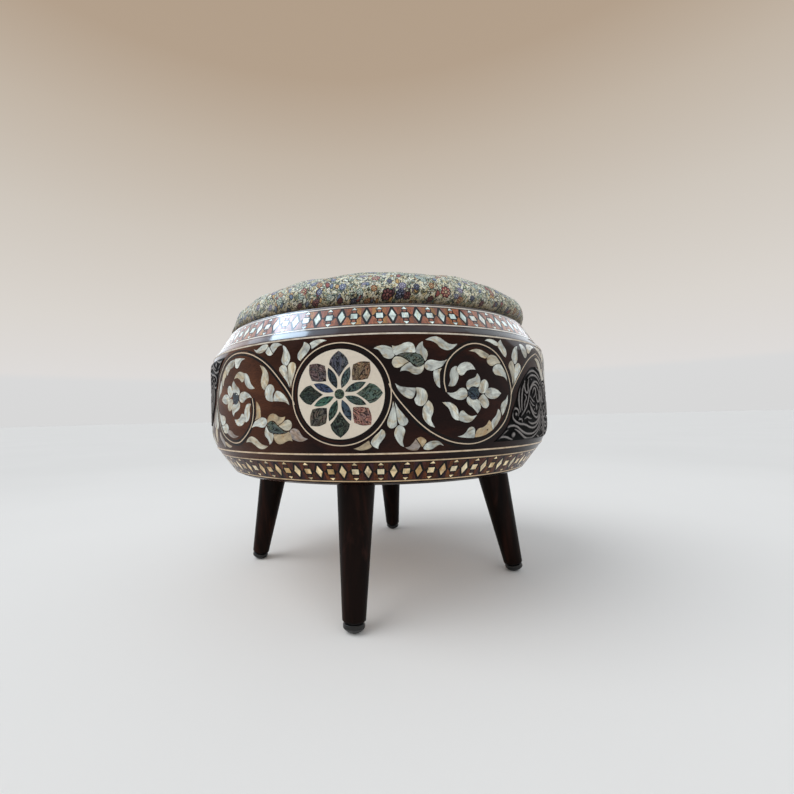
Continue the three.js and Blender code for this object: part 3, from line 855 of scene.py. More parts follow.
def build_lip():
    section = [(UPPER_HEAD[0] + LIP_BEVEL_OFFSET[0], UPPER_HEAD[1] + LIP_BEVEL_OFFSET[1]),
               *[(LIP_RADIUS + out, LIP_Z + up) for out, up in LIP_OFFSETS]]
    finish_piece(turned("upper_lip_painted_reflection", section, LIP_PAINTED_REFLECTION), "drum", "walnut_lacquer")


def build_strings():
    """The six bone strings: at the foot and the head of each bevel and of the wall."""
    foot = BAND_LAND + GAP
    sections = {}
    for bevel, side in ((LOWER, "lower"), (UPPER, "upper")):
        head = bevel.length - foot - STRING_WIDTH
        sections[f"{side}_foot"] = bevel.strip(foot, foot + STRING_WIDTH, LINE_PROUD)
        sections[f"{side}_head"] = bevel.strip(head, head + STRING_WIDTH, LINE_PROUD)
    for end, radius, z in (("foot", WALL_FOOT_RADIUS, LOWER_RIM_HEAD_Z - STRING_WIDTH),
                           ("head", WALL_HEAD_RADIUS, UPPER_RIM_FOOT_Z)):
        top = z + STRING_WIDTH
        sections[f"wall_{end}"] = [(radius - INLAY_DEPTH, z), (radius + LINE_PROUD, z),
                                   (radius + LINE_PROUD, top), (radius - INLAY_DEPTH, top)]
    for place, section in sections.items():
        ring = turned(f"string_{place}", section, STRING)
        finish_piece(ring, "drum", "bone", f"bone_string_{place}")


# Marquetry bands: a diamond and a square in turn, with wedges, small triangles and black lines

DIAMOND = [(3.4, 0), (0, 7.8), (-3.4, 0), (0, -7.8)]
SQUARE = [(3.15, -3.2), (3.15, 3.2), (-3.15, 3.2), (-3.15, -3.2)]
TRIANGLE = [(2.6, 8.3), (0, 11.3), (-2.6, 8.3)]
BAR = [(-1.3, 4.7), (1.3, 4.7), (1.9, 7.4), (-1.9, 7.4)]
WEDGE_TIP = (5.25, 0.35)
WEDGE_SPLIT = (5.4, 10.8)
SLIVER = [WEDGE_TIP, WEDGE_SPLIT, (1.35, 10.8)]
# A wedge's corners near the square, from the square's middle
WEDGE_FAR = [(-5.4, 1.2), (-4.15, 3.4), (-2.6, 5.2), (-3.3, 8.1), (-1.4, 10.8)]
# Tints of the shells, the wedges and the slivers
BAND_TINTS = {
    "upper": (("cfdedb", "bfd0cc", "d2d8d4"), ("94633f", "8a5439", "9c7245", "87563f"),
              ("8a5644", "96624c", "785042")),
    "lower": (("ecd6ab", "e8d8b6", "d8ba8c", "c09f6c"), ("4c2716", "58301a", "3c2010", "5e371c"),
              ("3a1d19", "46251f", "362026")),
}


def mirrored(points, sx, sy, x, y):
    return [Vector((x + sx * px, y + sy * py)) for px, py in points]


def build_band(bevel, side, phase):
    """One band; each unit has its diamond at 0 and its square half a pitch on."""
    pitch = FULL_TURN * bevel.middle_radius / BAND_UNITS
    middle = bevel.length / 2
    foot = BAND_LAND + GAP + STRING_WIDTH
    bed = turned(f"{side}_band_bed", bevel.strip(foot, bevel.length - foot, BED_PROUD), EBONY)
    finish_piece(bed, "drum", "marquetry", f"{side}_marquetry_band")
    wedge = [WEDGE_TIP, *[(pitch / 2 + x, y) for x, y in WEDGE_FAR], WEDGE_SPLIT]
    shell_tints, wedge_tints, sliver_tints = (
        [srgb(code) for code in codes] for codes in BAND_TINTS[side])
    shells = Inlay(bevel, PIECE_PROUD, 6.0)
    wedges = Inlay(bevel, PIECE_PROUD - 0.02, 8.0)
    for unit in range(BAND_UNITS):
        x = unit * pitch + phase
        half = x + pitch / 2
        shells.patch(mirrored(DIAMOND, 1, 1, x, middle), jitter(random.choice(shell_tints), 0.1))
        shells.patch(mirrored(SQUARE, 1, 1, half, middle), jitter(random.choice(shell_tints), 0.12))
        for sy in (1, -1):
            shells.patch(mirrored(TRIANGLE, 1, sy, half, middle), jitter(shell_tints[0], 0.15))
            wedges.patch(mirrored(BAR, 1, sy, half, middle), sliver_tints[unit % len(sliver_tints)])
            for sx in (1, -1):
                for outline, tints, spread in ((wedge, wedge_tints, 0.25), (SLIVER, sliver_tints, 0.2)):
                    tint = jitter(random.choice(tints), spread)
                    wedges.patch(mirrored(outline, sx, sy, x, middle), tint)
    shells.build(f"{side}_band_shell", PEARL, slot="marquetry")
    wedges.build(f"{side}_band_wedges", WEDGE_WOOD, slot="marquetry")


# Main pattern, drawn for the half unit right of the front medallion

SCROLL = [
    (14.2, 242.8), (15.8, 238.7), (20.8, 230.3), (30, 218.7), (40, 207.8), (50, 199.5), (60, 193.7),
    (70, 189.5), (80, 187), (92.5, 185.8), (104.2, 187), (116.7, 191.6), (128.3, 199.5),
    (137.5, 208.7), (144.2, 222), (146.7, 232), (146.3, 240.3), (141.7, 253.7), (133.3, 265.8),
    (123.3, 274.1), (110.8, 279.1), (100.3, 280.3), (90, 278.3), (80, 272.8), (73.6, 267.2),
    (69.2, 261.2), (66.6, 252.8), (65.8, 243.6), (67.5, 234.5),
]
ARCH = [
    (146.5, 232), (150, 238.5), (155, 244.5), (160, 250), (170, 259.8), (180, 267.8), (190, 273.3),
    (200, 277), (204.6, 278.2),
]
PANEL_U = 204.6
LEAVES = [
    [(0.4, 274.9, T), (5, 277), (9.2, 277.7), (13.8, 276.8), (17.9, 274.9), (18.5, 271.6),
     (20, 268.3), (17.5, 265.5), (14.2, 264.9), (10, 266.6), (7.9, 269.9), (5, 273.3)],
    [(17.5, 277.4, T), (20.8, 276.6), (25, 277.8), (28.8, 279.5), (33.3, 280.3), (36.7, 279),
     (38.8, 275.3), (39, 270.5), (33.3, 270.5), (27.5, 270.2), (23.3, 269), (21.3, 267.8),
     (18.8, 270.3), (17.9, 274)],
    [(46.3, 281.2, T), (42.5, 278.7), (40, 275.3), (39.2, 271.6), (40, 269.7), (43.3, 268.7),
     (45.8, 266.2), (47.9, 262.4), (50, 266.2), (50.7, 269.5), (49.6, 272.8), (46.7, 276.2)],
    [(20.4, 267), (17.9, 264.5), (17.1, 261.2), (18.8, 257.8), (22.1, 256.6), (25.8, 257.8),
     (29.2, 260.3), (32.9, 262.4, T), (29.2, 264.9), (25, 267)],
    [(24.2, 253.3, T), (25.8, 257), (28.8, 259.5), (32.9, 261.8), (35, 260.8), (36.7, 258.7),
     (40, 257.4), (44.2, 258.3), (46.5, 259.9), (46.7, 256.2), (44.2, 252), (40, 250.3),
     (35.8, 251.2), (32.5, 253.3), (28.3, 254.1)],
    [(46.7, 259.1), (49.2, 262.8), (52.5, 264.1), (56.7, 263.7), (61.7, 262.8), (65.8, 263.3),
     (70, 264.7, T), (66.7, 260.8), (64.2, 257.8), (60, 255.8), (55, 253.8), (50.8, 254.1),
     (47.9, 255.8)],
    [(64.2, 256.6, T), (62.1, 252.8), (61.7, 247.8), (61.7, 242), (61.8, 237.4, T), (58.3, 240.3),
     (55.8, 245.3), (55.2, 250.3), (55.8, 254.1), (60, 255.3)],
    [(48.3, 282.2, T), (51.7, 284.1), (55.8, 285.5), (60, 285.8), (63.8, 284.5), (67.1, 282),
     (70.8, 279.5), (75, 278.7), (81, 279.3, T), (78.3, 276.6), (75, 274.1), (70.8, 272.7),
     (66.3, 273.3), (62.5, 275.3), (59.2, 278.7), (55.4, 280.8), (51.7, 281.6)],
    [(19.3, 243.3, T), (24.2, 240.3), (30, 239.3), (35, 238.8), (38.2, 238.3), (37.9, 233.7),
     (35.8, 229.5), (33.3, 228.5), (29.2, 229.9), (25, 233.3), (21.7, 237.4)],
    [(38.2, 238.7), (42.5, 238.7), (46.7, 237), (49.2, 232.8), (49.2, 228.7), (47.5, 224.5),
     (44.2, 222), (40.8, 222), (37.9, 224.1), (36.7, 228.3), (38.5, 230.8), (39, 234.5)],
    [(50, 227.4, T), (53.3, 224.1), (54.6, 219.5), (53.8, 214.5), (52.1, 209.5), (55.8, 201.8, T),
     (50.8, 203.7), (46.7, 207.4), (44.2, 212), (43.8, 217), (45, 221.2), (47.5, 224.5)],
    [(17.5, 227.8, T), (15.8, 220.3), (13.3, 213.7), (11.5, 207.8), (12.5, 203.7), (15.8, 202.2),
     (19.2, 203.7), (20.7, 206.2), (20.4, 212), (20, 217.8)],
    [(18.8, 227, T), (22.5, 220.3), (27.5, 214.1), (30.8, 209.5), (30, 206.2), (26.7, 204.3),
     (23.3, 205.3), (21.3, 208.7), (20, 217)],
    [(21.8, 205.3), (25.8, 204.1), (27.9, 200.3), (26.7, 195.3), (25.7, 190.3), (27.1, 184.9, T),
     (23.3, 187), (19.6, 192), (17.7, 197), (18.8, 202)],
    [(27.1, 184.9, T), (31.7, 185.8), (35, 189.1), (37.5, 192.5, T), (42.5, 185.8, T), (40, 182),
     (35, 181.6), (30.8, 182.8)],
    [(37.9, 192.8, T), (41.7, 194.3), (45.4, 192.8), (47.7, 190.3), (46.7, 187.8), (44.2, 184.5),
     (42.9, 186, T)],
    [(45, 184.5), (47.5, 187.8), (51.7, 189.9), (56.7, 190.3), (60.8, 189.1), (65.8, 184.7, T),
     (60.8, 186.2), (57.5, 184.5), (53.3, 182), (48.3, 181.6), (45.4, 182.8)],
    [(-20.4, 184.5, T), (-15, 186.2), (-10, 189.1), (-5, 192), (-4.2, 188.7), (-2.5, 186.2),
     (-6.7, 183.7), (-13.3, 182.7)],
    [(-3.3, 191.2), (0, 195.8), (4.2, 199.5), (6.8, 202.4, T), (9.6, 199.5), (9.6, 195.3),
     (6.7, 191.2), (4.2, 187.8), (3.3, 183.8, T), (-0.8, 185.8), (-3.3, 188.7)],
    [(91.7, 272.7, T), (95.8, 274.1), (101.7, 275.3), (108.3, 274.1), (114.2, 271.6),
     (116.7, 270.2), (114.2, 267.8), (111.7, 266.3), (105.8, 267.8), (100.8, 271.2), (95.8, 272.4)],
    [(114.2, 267.8), (116.7, 269.9), (121.3, 270.5), (125.8, 269.1), (130, 265.3), (131.7, 262.4),
     (126.7, 262), (122.1, 259.9), (118.3, 259.5), (114.6, 261.6), (113.3, 264.9)],
    [(122.1, 259.1), (126.7, 261.6), (132.1, 261.6), (135.8, 257.8), (139.2, 252.8),
     (141.3, 245.3, T), (136.7, 249.1), (130, 250.3), (124.2, 251.2), (121, 254.1), (120.8, 256.6)],
    [(69.6, 239.9, T), (71.7, 245.3), (71.3, 250.3), (72.9, 255.3), (75.8, 257.8), (79.2, 258.3),
     (78.8, 254.5), (80.8, 250.3), (80, 245.3), (76.7, 240.3), (72.5, 239.3)],
    [(79.2, 257), (83.3, 260.8), (88.3, 262.4), (93.3, 262), (97.1, 259.1), (99.8, 255.2, T),
     (95, 255.3), (90, 254.1), (86.3, 250.3), (83.3, 249.5), (80.4, 251.2), (79, 254.1)],
    [(90.4, 236.2), (88.2, 241.2), (90.8, 245.3), (95.8, 247.4), (99.2, 248.7), (101.3, 252.4, T),
     (104.2, 248.7), (105, 243.7), (102.9, 239.5), (99.2, 238.7), (95, 239.1)],
    [(102.5, 234.5), (102.9, 238.7), (105.8, 244.5), (110, 246.6), (113.3, 244.5), (114.8, 240.3),
     (112.5, 236.2), (108.3, 232.8)],
    [(109.6, 233.3), (112.5, 237), (117.5, 238.7), (123.3, 237.8), (127.5, 236.2),
     (131.7, 233.3, T), (127.5, 229.9), (122.5, 227.8), (116.7, 227.8), (112.5, 229.5)],
    [(107.5, 232.4), (111.7, 229.5), (114.6, 225.3), (114.2, 221.2), (110.8, 218.7), (106.7, 219.9),
     (103.8, 223.7), (102.1, 227.8)],
    [(90.8, 230.3), (88.3, 227), (90, 222.8), (94.2, 219.9), (97.5, 217), (100.4, 213.7, T),
     (103.8, 217.8), (104.6, 221.2), (102.5, 226.2), (100, 227.8)],
    [(67.9, 234.1, T), (73.3, 233.7), (78.3, 235.3), (81.7, 237.8), (85.8, 238.3), (88.8, 236.2),
     (89.8, 232.4), (88.3, 229.1), (84.2, 227), (79.2, 227), (73.3, 229.1), (70, 231.6)],
    [(62.9, 224.9, T), (66.7, 225.3), (71.7, 224.7), (76.7, 221.6), (79.2, 217.8), (79.6, 212.8),
     (80, 207.8, T), (75.8, 208.7), (72.5, 212), (70.4, 217), (68.3, 220.3)],
    [(80, 207.8, T), (79.6, 212.8), (81.7, 216.6), (85, 217), (88.3, 214.1), (93.3, 212),
     (100, 212.8, T), (95.8, 208.7), (91.7, 206.2), (86.7, 205.8)],
    [(77.5, 193.3, T), (83.3, 194.5), (86.7, 197), (90, 200.8), (93.3, 202), (96.7, 200.3),
     (97.1, 196.2), (97.1, 191.6), (91.7, 191.2), (83.3, 192)],
    [(97.1, 191.6, T), (97.9, 196.2), (100.8, 199.9), (106.7, 201.2), (110.8, 203.7),
     (114.2, 207.8, T), (116.7, 205.3), (118.3, 197.8, T), (110, 193.7), (103.3, 192)],
    [(116.7, 205.3, T), (118.3, 207.8), (123.3, 212), (125, 215.3), (126.3, 218.3, T),
     (129.2, 216.2), (130, 210.3), (125, 203.7), (118.3, 197.8, T)],
    [(141.7, 232.4, T), (137.5, 227.4), (132.5, 224.5), (130, 219.5), (130.8, 214.5),
     (132.1, 211.2, T), (135, 214.5), (138.3, 219.5), (140.8, 225.3)],
    [(112.1, 283.7, T), (116.7, 285.8), (122.5, 286.2), (127.5, 284.5), (130, 282.8),
     (128.8, 279.5), (125, 279.9), (120, 282), (115.8, 283.3)],
    [(130, 282.8), (135.4, 287, T), (136.7, 282), (140, 277.8), (141.7, 272.8), (140, 268.7, T),
     (136.7, 270.3), (132.5, 274.5), (129.2, 278.7)],
    [(161.3, 282.4, T), (155.8, 280.3), (151.7, 276.2), (149.2, 270.3), (151.3, 265.8),
     (154.6, 262.8), (158.3, 265.3), (160, 269.5), (160, 277)],
    [(150.4, 266.2), (145.8, 264.5), (143.8, 260.3), (145.8, 256.2), (148.3, 249.5),
     (150.4, 240.3, T), (152.1, 248.7), (154.2, 258.7)],
    [(155, 261.2), (159.2, 264.5), (163.3, 264.1), (165.4, 260.3), (163.3, 255.3), (157.5, 249.5),
     (152.5, 242.8, T), (153.3, 252.8)],
    [(165.8, 284.5, T), (168.8, 277), (173.3, 271.6), (176.7, 270.8), (179.5, 273.5), (179.2, 279),
     (175, 283.5), (170, 285.5)],
    [(181, 284), (180.4, 278.5), (183.5, 275.8), (188, 278), (193, 281.5), (199, 283.8),
     (205, 285.2, T), (197, 286.8), (188, 286.8), (183, 286.2)],
]
CAPPING_LEAVES = [
    [(199, 272.3, T), (205, 273.2), (211, 272.2), (216.5, 269.5), (220.6, 265), (220.6, 260),
     (217, 258.6), (213.4, 260.2), (210.6, 263.8), (206, 268.6)],
    [(217.6, 258.4), (221.4, 261), (225.6, 263.4), (228.6, 262), (230, 257), (236, 252.4, T),
     (229, 249.6), (224, 250.6), (220.6, 253.6)],
]
BUD = [
    (20.4, 268.4, T), (26.7, 269.7), (33.3, 270.2), (39.2, 269.7), (43.3, 268.3), (46.3, 264.5),
    (46.7, 261.2), (45, 258.7), (41.7, 257.4), (38.3, 258.7), (35.8, 260.8), (33.3, 262.8),
    (28.3, 266.2), (25, 267.7),
]
FLOWER_HEART = (96.7, 233.3)
FLOWER_HEART_RADIUS = 6.4
HEART_SIDES = 32
LEAF_CLEARANCE = 0.2
SCROLL_LINE = 1.0
SCROLL_BED = 6.2

# Half units: (number of the medallion, direction of u, direction of z)
HALF_UNITS = [(0, 1, 1), (0, -1, -1), (1, -1, 1), (1, 1, -1), (2, -1, -1), (2, 1, -1)]
CAPPED_UNITS = [(0, 1, 1), (0, -1, -1), (1, 1, -1)]
CAP_PROUD = 0.4

# Leaf tints: silver and ivory shell, with more straw and lilac the further a leaf lies below WARM_Z
SILVER, IVORY, STRAW, LILAC = (srgb(code) for code in ("bcbfb9", "b9b3a2", "ac9b80", "948a85"))
WARM_Z = 222
WARM_SPAN = 34
BUD_TINT = "565c55"
FLOWER_HEART_TINT = "39424c"
LINE_TINT = "c8b69f"


def half_point(unit, point):
    """A drawn point, carried to one of the half units."""
    centre, su, sz = unit
    u = centre * MEDALLION_SPACING + su * (point[0] - MOTIF_U)
    return (u, PATTERN_Z + sz * (point[1] - MOTIF_Z), *point[2:])


def leaf_tint(outline):
    """Silver shell high on the drum, straw and lilac towards its foot."""
    height = sum(point[1] for point in outline) / len(outline)
    warm = min(1.0, max(0.0, (WARM_Z - height) / WARM_SPAN))
    pick = random.random()
    if pick < 0.6 * warm:
        return jitter(STRAW, 0.12)
    if pick < 0.85 * warm:
        return jitter(LILAC, 0.12)
    return jitter(random.choice((SILVER, SILVER, SILVER, SILVER, IVORY)), 0.1)


def circle(centre, radius, count):
    return [Vector((centre[0] + radius * math.cos(a), centre[1] + radius * math.sin(a)))
            for a in (FULL_TURN * k / count for k in range(count))]


def build_scrolls():
    leaves = Inlay(on_wall)
    caps = Inlay(on_wall, CAP_PROUD)
    dark = Inlay(on_wall, PIECE_PROUD + 0.01)
    lines = Inlay(on_wall, LINE_PROUD)
    beds = Inlay(on_wall, BED_PROUD)
    for unit in HALF_UNITS:
        capping = CAPPING_LEAVES if unit in CAPPED_UNITS else []
        for inlay, outlines in ((leaves, LEAVES), (caps, capping)):
            for outline in outlines:
                placed = [half_point(unit, point) for point in outline]
                inlay.patch(inset(smooth_outline(placed), LEAF_CLEARANCE), leaf_tint(placed))
        bud = [half_point(unit, point) for point in BUD]
        dark.patch(inset(smooth_outline(bud), LEAF_CLEARANCE), srgb(BUD_TINT))
        heart = half_point(unit, FLOWER_HEART)
        dark.patch(circle(heart, FLOWER_HEART_RADIUS, HEART_SIDES), srgb(FLOWER_HEART_TINT))
        for curve in (SCROLL, ARCH):
            drawn = open_curve([half_point(unit, point) for point in curve])
            beds.ribbon(drawn, SCROLL_BED)
            lines.ribbon(drawn, SCROLL_LINE, srgb(LINE_TINT))
    leaves.build("scroll_leaves", PEARL)
    caps.build("panel_cap_leaves", PEARL)
    dark.build("scroll_hearts", ABALONE)
    beds.build("scroll_beds", EBONY, slot="ebonised_wood")
    lines.build("scroll_lines", DISC_BONE)


# Rosette pieces, about the medallion's middle

KITE = [
    (15.6, 0, T), (19.5, 2.6), (23.6, 5.6), (27.6, 9.2, T), (32.2, 7.8), (36.4, 4.4), (39.7, 0, T),
    (36.4, -4.4), (32.2, -7.8), (27.6, -9.2, T), (23.6, -5.6), (19.5, -2.6),
]
CORNER_PIECE = [
    (12.2, 12.2, T), (19.4, 12.0), (26.4, 13.2, T), (28.9, 20.4), (28.4, 28.4, T), (20.4, 28.9),
    (13.2, 26.4, T), (12.0, 19.4),
]
PETAL_INNER, PETAL_OUTER, PETAL_HALF = 5.6, 26.6, 3.7
PETAL_STEPS = 8
ROSETTE_HEART = 4.6
ROSETTE_HEART_SIDES = 28
DISC_MESH = 3.5
DISC_SIDES = 96
LINE_SIDES = 128
BROWN_RING_RADIUS = 43.65
BROWN_RING_WIDTH = 1.7
DISC_TINT = "cfc4b4"
ROSETTE_HEART_TINT = "4a5446"
KITE_TINTS = ("505c54", "504e57", "333a34", "373e38")
CORNER_TINTS = ("775f4b", "5a4c4d", "524a43", "906860")
PETAL_TINTS = ("46534e", "465252", "2b343c", "35405a", "3c5b50", "384a44", "343f4e", "3f4c48")


def petal():
    """A pointed leaf with parabolic sides."""
    side = [(PETAL_INNER + (PETAL_OUTER - PETAL_INNER) * k / PETAL_STEPS,
             PETAL_HALF * 4 * k * (PETAL_STEPS - k) / PETAL_STEPS ** 2) for k in range(1, PETAL_STEPS)]
    return [(PETAL_INNER, 0, T), *side, (PETAL_OUTER, 0, T), *[(x, -y) for x, y in reversed(side)]]


def turned_outline(points, angle, centre):
    cosine, sine = math.cos(angle), math.sin(angle)
    return [(centre[0] + x * cosine - y * sine, centre[1] + x * sine + y * cosine, *tip)
            for x, y, *tip in points]


def build_medallions():
    for number, node in enumerate(("medallion_front", "medallion_back_right", "medallion_back_left")):
        centre = (number * MEDALLION_SPACING, PATTERN_Z)
        bed = Inlay(on_wall, BED_PROUD + 0.01)
        bed.patch(circle(centre, RING_RADIUS, DISC_SIDES))
        bed.build(f"{node}_bed", EBONY, slot="ebonised_wood")
        ring = Inlay(on_wall, BED_PROUD + 0.03)
        ring.ribbon(circle(centre, BROWN_RING_RADIUS, DISC_SIDES), BROWN_RING_WIDTH, closed=True)
        ring.build(f"{node}_brown_ring", WALNUT, slot="walnut_lacquer")
        line = Inlay(on_wall, LINE_PROUD)
        rim = circle(centre, RING_RADIUS, LINE_SIDES)
        line.ribbon(rim, SCROLL_LINE, srgb(LINE_TINT), closed=True)
        line.build(f"{node}_string", DISC_BONE)
        disc = Inlay(on_wall, BED_PROUD + 0.08, DISC_MESH)
        disc.patch(circle(centre, DISC_RADIUS, DISC_SIDES), srgb(DISC_TINT), turn=0.0)
        disc.build(f"{node}_disc", DISC_BONE, nodes=(node,))
        build_rosette(centre, f"{node}_rosette")


def build_rosette(centre, name):
    shells = Inlay(on_wall, PIECE_PROUD + 0.09, DISC_MESH)
    for k in range(4):
        for outline, tints in ((KITE, KITE_TINTS), (CORNER_PIECE, CORNER_TINTS)):
            piece = turned_outline(outline, k * math.pi / 2, centre)
            shells.patch(smooth_outline(piece), srgb(tints[k]))
    for k in range(8):
        leaf = turned_outline(petal(), (k + 0.5) * math.pi / 4, centre)
        shells.patch(smooth_outline(leaf), srgb(PETAL_TINTS[k]))
    shells.patch(circle(centre, ROSETTE_HEART, ROSETTE_HEART_SIDES), srgb(ROSETTE_HEART_TINT))
    shells.build(name, ABALONE)


# Carved panels: raised stems and seeds on a sunk ground, the same on both sides of the middle

PANEL_HALF_WIDTH = 82.6
PANEL_HEIGHT = 79.0
PANEL_FOOT_DROP = 48.5
PANEL_SHARES = [
    (1, 0), (0.95, 0.04), (0.84, 0.14), (0.745, 0.27), (0.685, 0.39),
    (0.6, 0.53), (0.54, 0.66), (0.44, 0.785), (0.32, 0.886), (0.16, 0.97),
]
STEMS = [
    [(150, 197.6), (156, 195.3), (162, 192.4), (168, 189.5), (174, 187.6), (181, 186.9),
     (188, 187.4), (194, 189.4), (200, 192.6), (206, 197), (214, 204.5)],
    [(131, 194), (136, 198.8), (142, 200.8), (148, 201.2), (154, 199.8), (160, 196.8), (166, 194.2),
     (173, 192.4), (181, 191.8), (188, 192), (194, 193.6), (200, 196.6), (206, 201.8), (214, 210)],
    [(147, 215), (147, 209.6), (150, 206.2), (155, 203.9), (160, 202.5), (166, 202), (172, 200.9),
     (178, 199), (185, 197.9), (192, 198.5), (198, 201), (204, 205), (214, 215.4)],
    [(176, 204.6), (182, 202.6), (189, 202.4), (196, 203.6), (202, 206.6), (206.4, 211),
     (208.4, 216), (206.8, 221)],
    [(147, 211), (148, 216), (151.4, 218.2), (155.4, 217.4), (157.8, 214), (156.4, 210.8)],
    [(162, 210.5), (166, 213.4), (170, 217), (174, 221.2), (177, 226), (179.2, 231), (181.4, 236.4),
     (185.2, 241.4), (190, 245), (195.4, 247), (201, 247), (207, 244.8), (211, 241)],
    [(160.6, 214.4), (158.6, 222), (158.6, 230), (160.6, 238), (165, 245), (170, 250), (176, 254),
     (184, 257.3), (192, 258.3), (199, 257.2), (206, 254.6), (214, 250)],
    [(163.6, 216), (163.6, 224), (164.6, 232), (167.2, 240), (171.4, 246)],
    [(178, 249.6), (184, 252.6), (190, 253.6), (197, 253.4), (203, 251.8), (208.5, 249.2),
     (214, 245)],
    [(171, 247), (170.4, 241), (171.8, 236.4), (175, 234.4), (178, 237), (178, 243), (180, 249)],
    [(168.4, 219), (170, 225), (173.4, 229.6), (170, 233)],
    [(182, 226.4), (187.5, 222.2), (193, 221)],
    [(182, 231), (188, 226.6), (193, 225.2)],
    [(184, 220), (188, 215.6), (193, 212.8), (198, 213)],
    [(180.6, 224), (184, 217), (188, 212.4), (193, 209.5), (198.5, 208.6), (203, 211),
     (204.4, 216)],
    [(184.5, 238), (188, 241.6), (193.5, 243.6), (199, 243), (204.2, 240), (207.6, 235),
     (208.2, 229), (205.6, 225.6), (201.4, 226.4), (199.6, 230), (201, 234)],
    [(188.6, 234.4), (191.8, 239.2), (196, 240), (197.6, 236), (195, 232), (190.6, 229.8)],
    [(214, 243), (210.6, 236), (210.2, 229), (212, 222), (214, 217.6)],
    [(214, 258), (207, 261), (199, 263)],
    [(124, 187.6), (130, 190.2), (137, 190.3), (143, 188.6), (149, 187)],
    [(131, 192), (135, 195), (139, 197)],
    [(163.5, 204.6), (162.5, 207.4), (157, 206.6)],
    [(168.6, 207.4), (174, 209.4), (178.6, 208), (184, 207.6)],
    [(172.6, 213.4), (177, 215.6), (180.4, 213)],
    [(202, 189.5), (207, 188), (214, 186.8)],
    [(208, 193.4), (211, 196), (214, 198.4)],
]
SEEDS = [
    (199, 219.6, 2.9, 4.4), (214, 229.6, 2.3, 4.6), (148.8, 192, 3.8, 3.4), (153, 212.6, 2.6, 2.4),
    (192.4, 217.4, 1.5, 1.5), (186.6, 249, 1.5, 1.2), (214, 236.6, 1.4, 1.4),
    (158.6, 208.2, 1.4, 1.2),
]
STEM_HALF = 1.5
STEM_TIP = 0.5  # a stem's share of width at its ends
TIP_LENGTH = 9.0
FOLD = 9.4
FAR_STRETCH = 1.26
RELIEF = 1.3
RELIEF_EDGE = 1.2  # over which the relief rises from the panel's edge
CAP_CLEARANCE = 1.5
GROUND_PROUD = 0.12
RELIEF_SPACING = 0.95
# The panels: name, place in medallion spacings from the front, and 1 upright or -1 upside down
PANELS = [("front_right", 0.5, 1), ("back", 1.5, -1), ("front_left", -0.5, -1)]


def panel_outline():
    """The panel's outline about its middle, in the (u, z) of an upright panel."""
    right = [(x * PANEL_HALF_WIDTH, z * PANEL_HEIGHT - PANEL_FOOT_DROP) for x, z in PANEL_SHARES]
    return right + [(-x, z) for x, z in reversed(right)]


def distance_to_curve(spots, curve):
    """Least distance from each of many points to a polyline."""
    best = np.full(len(spots), np.inf)
    for a, b in zip(curve, curve[1:]):
        start = np.array(a)
        arm = np.array(b) - start
        share = np.clip(((spots - start) @ arm) / max(arm @ arm, 1e-9), 0, 1)
        best = np.minimum(best, np.linalg.norm(spots - start - share[:, None] * arm, axis=1))
    return best


def relief_height(spots):
    """Height share from 0 (ground) to 1 (top of a stem) at points about the panel's middle.

    The far side repeats the drawn side a little narrower, about a line beyond the middle.
    """
    u, z = spots[:, 0], spots[:, 1]
    folded = np.column_stack([np.where(u > FOLD, FOLD - (u - FOLD) * FAR_STRETCH, u), z])
    height = np.zeros(len(spots))
    for stem in STEMS:
        curve = [(p.x - PANEL_U, p.y - MOTIF_Z) for p in open_curve(stem)]
        tip = np.minimum(*(np.linalg.norm(folded - end, axis=1) for end in (curve[0], curve[-1])))
        half = STEM_HALF * (STEM_TIP + (1 - STEM_TIP) * np.clip(tip / TIP_LENGTH, 0, 1))
        away = distance_to_curve(folded, curve) / half
        height = np.maximum(height, np.sqrt(np.clip(1 - away ** 2, 0, 1)))
    for u, z, wide, high in SEEDS:
        away = np.linalg.norm((folded - (u - PANEL_U, z - MOTIF_Z)) / (wide, high), axis=1)
        height = np.maximum(height, np.sqrt(np.clip(1 - away ** 2, 0, 1)))
    return height


def under_caps(spots):
    """1 at points that a capping leaf covers, 0 elsewhere."""
    covered = np.zeros(len(spots))
    for outline in CAPPING_LEAVES:
        shape = smooth_outline([(u - PANEL_U, z - MOTIF_Z, *rest) for u, z, *rest in outline])
        grown = inset(shape, -CAP_CLEARANCE)
        covered = np.maximum(covered, [contains(grown, x, y) for x, y in spots])
    return covered


def build_panels():
    outline = panel_outline()
    foot_tips = (0, len(outline) - 1)
    border = smooth_outline([(*p, T) if k in foot_tips else p for k, p in enumerate(outline)], 1.0)
    spots, faces = triangulate(border, RELIEF_SPACING)
    flat = np.array([tuple(p) for p in spots])
    edge = distance_to_curve(flat, [tuple(p) for p in border] + [tuple(border[0])])
    heights = {side: relief_height(flat * (side, 1)) * np.clip(edge / RELIEF_EDGE, 0, 1)
               * (1 - under_caps(flat * (side, 1))) for side in (1, -1)}
    for name, place, stance in PANELS:
        height = heights[-1 if place < 0 else 1]
        piece = Inlay(on_wall, GROUND_PROUD)
        carried = [Vector((place * MEDALLION_SPACING + p.x, PATTERN_Z + stance * p.y)) for p in spots]
        piece.shell(carried, faces, (1.0, 1.0, 1.0), 0.0)
        for k, spot in enumerate(carried):
            piece.points[k] = on_wall(spot.x, spot.y, GROUND_PROUD + RELIEF * height[k])
        node = f"carved_panel_{name}"
        obj = piece.build(f"{node}_relief", CARVED, slot="ebonised_wood", nodes=(node,))
        write_attribute(obj.data, "relief", "FLOAT", "value", np.concatenate([height, height * 0]))
        obj.data.set_sharp_from_angle(angle=math.radians(80))


# Seat

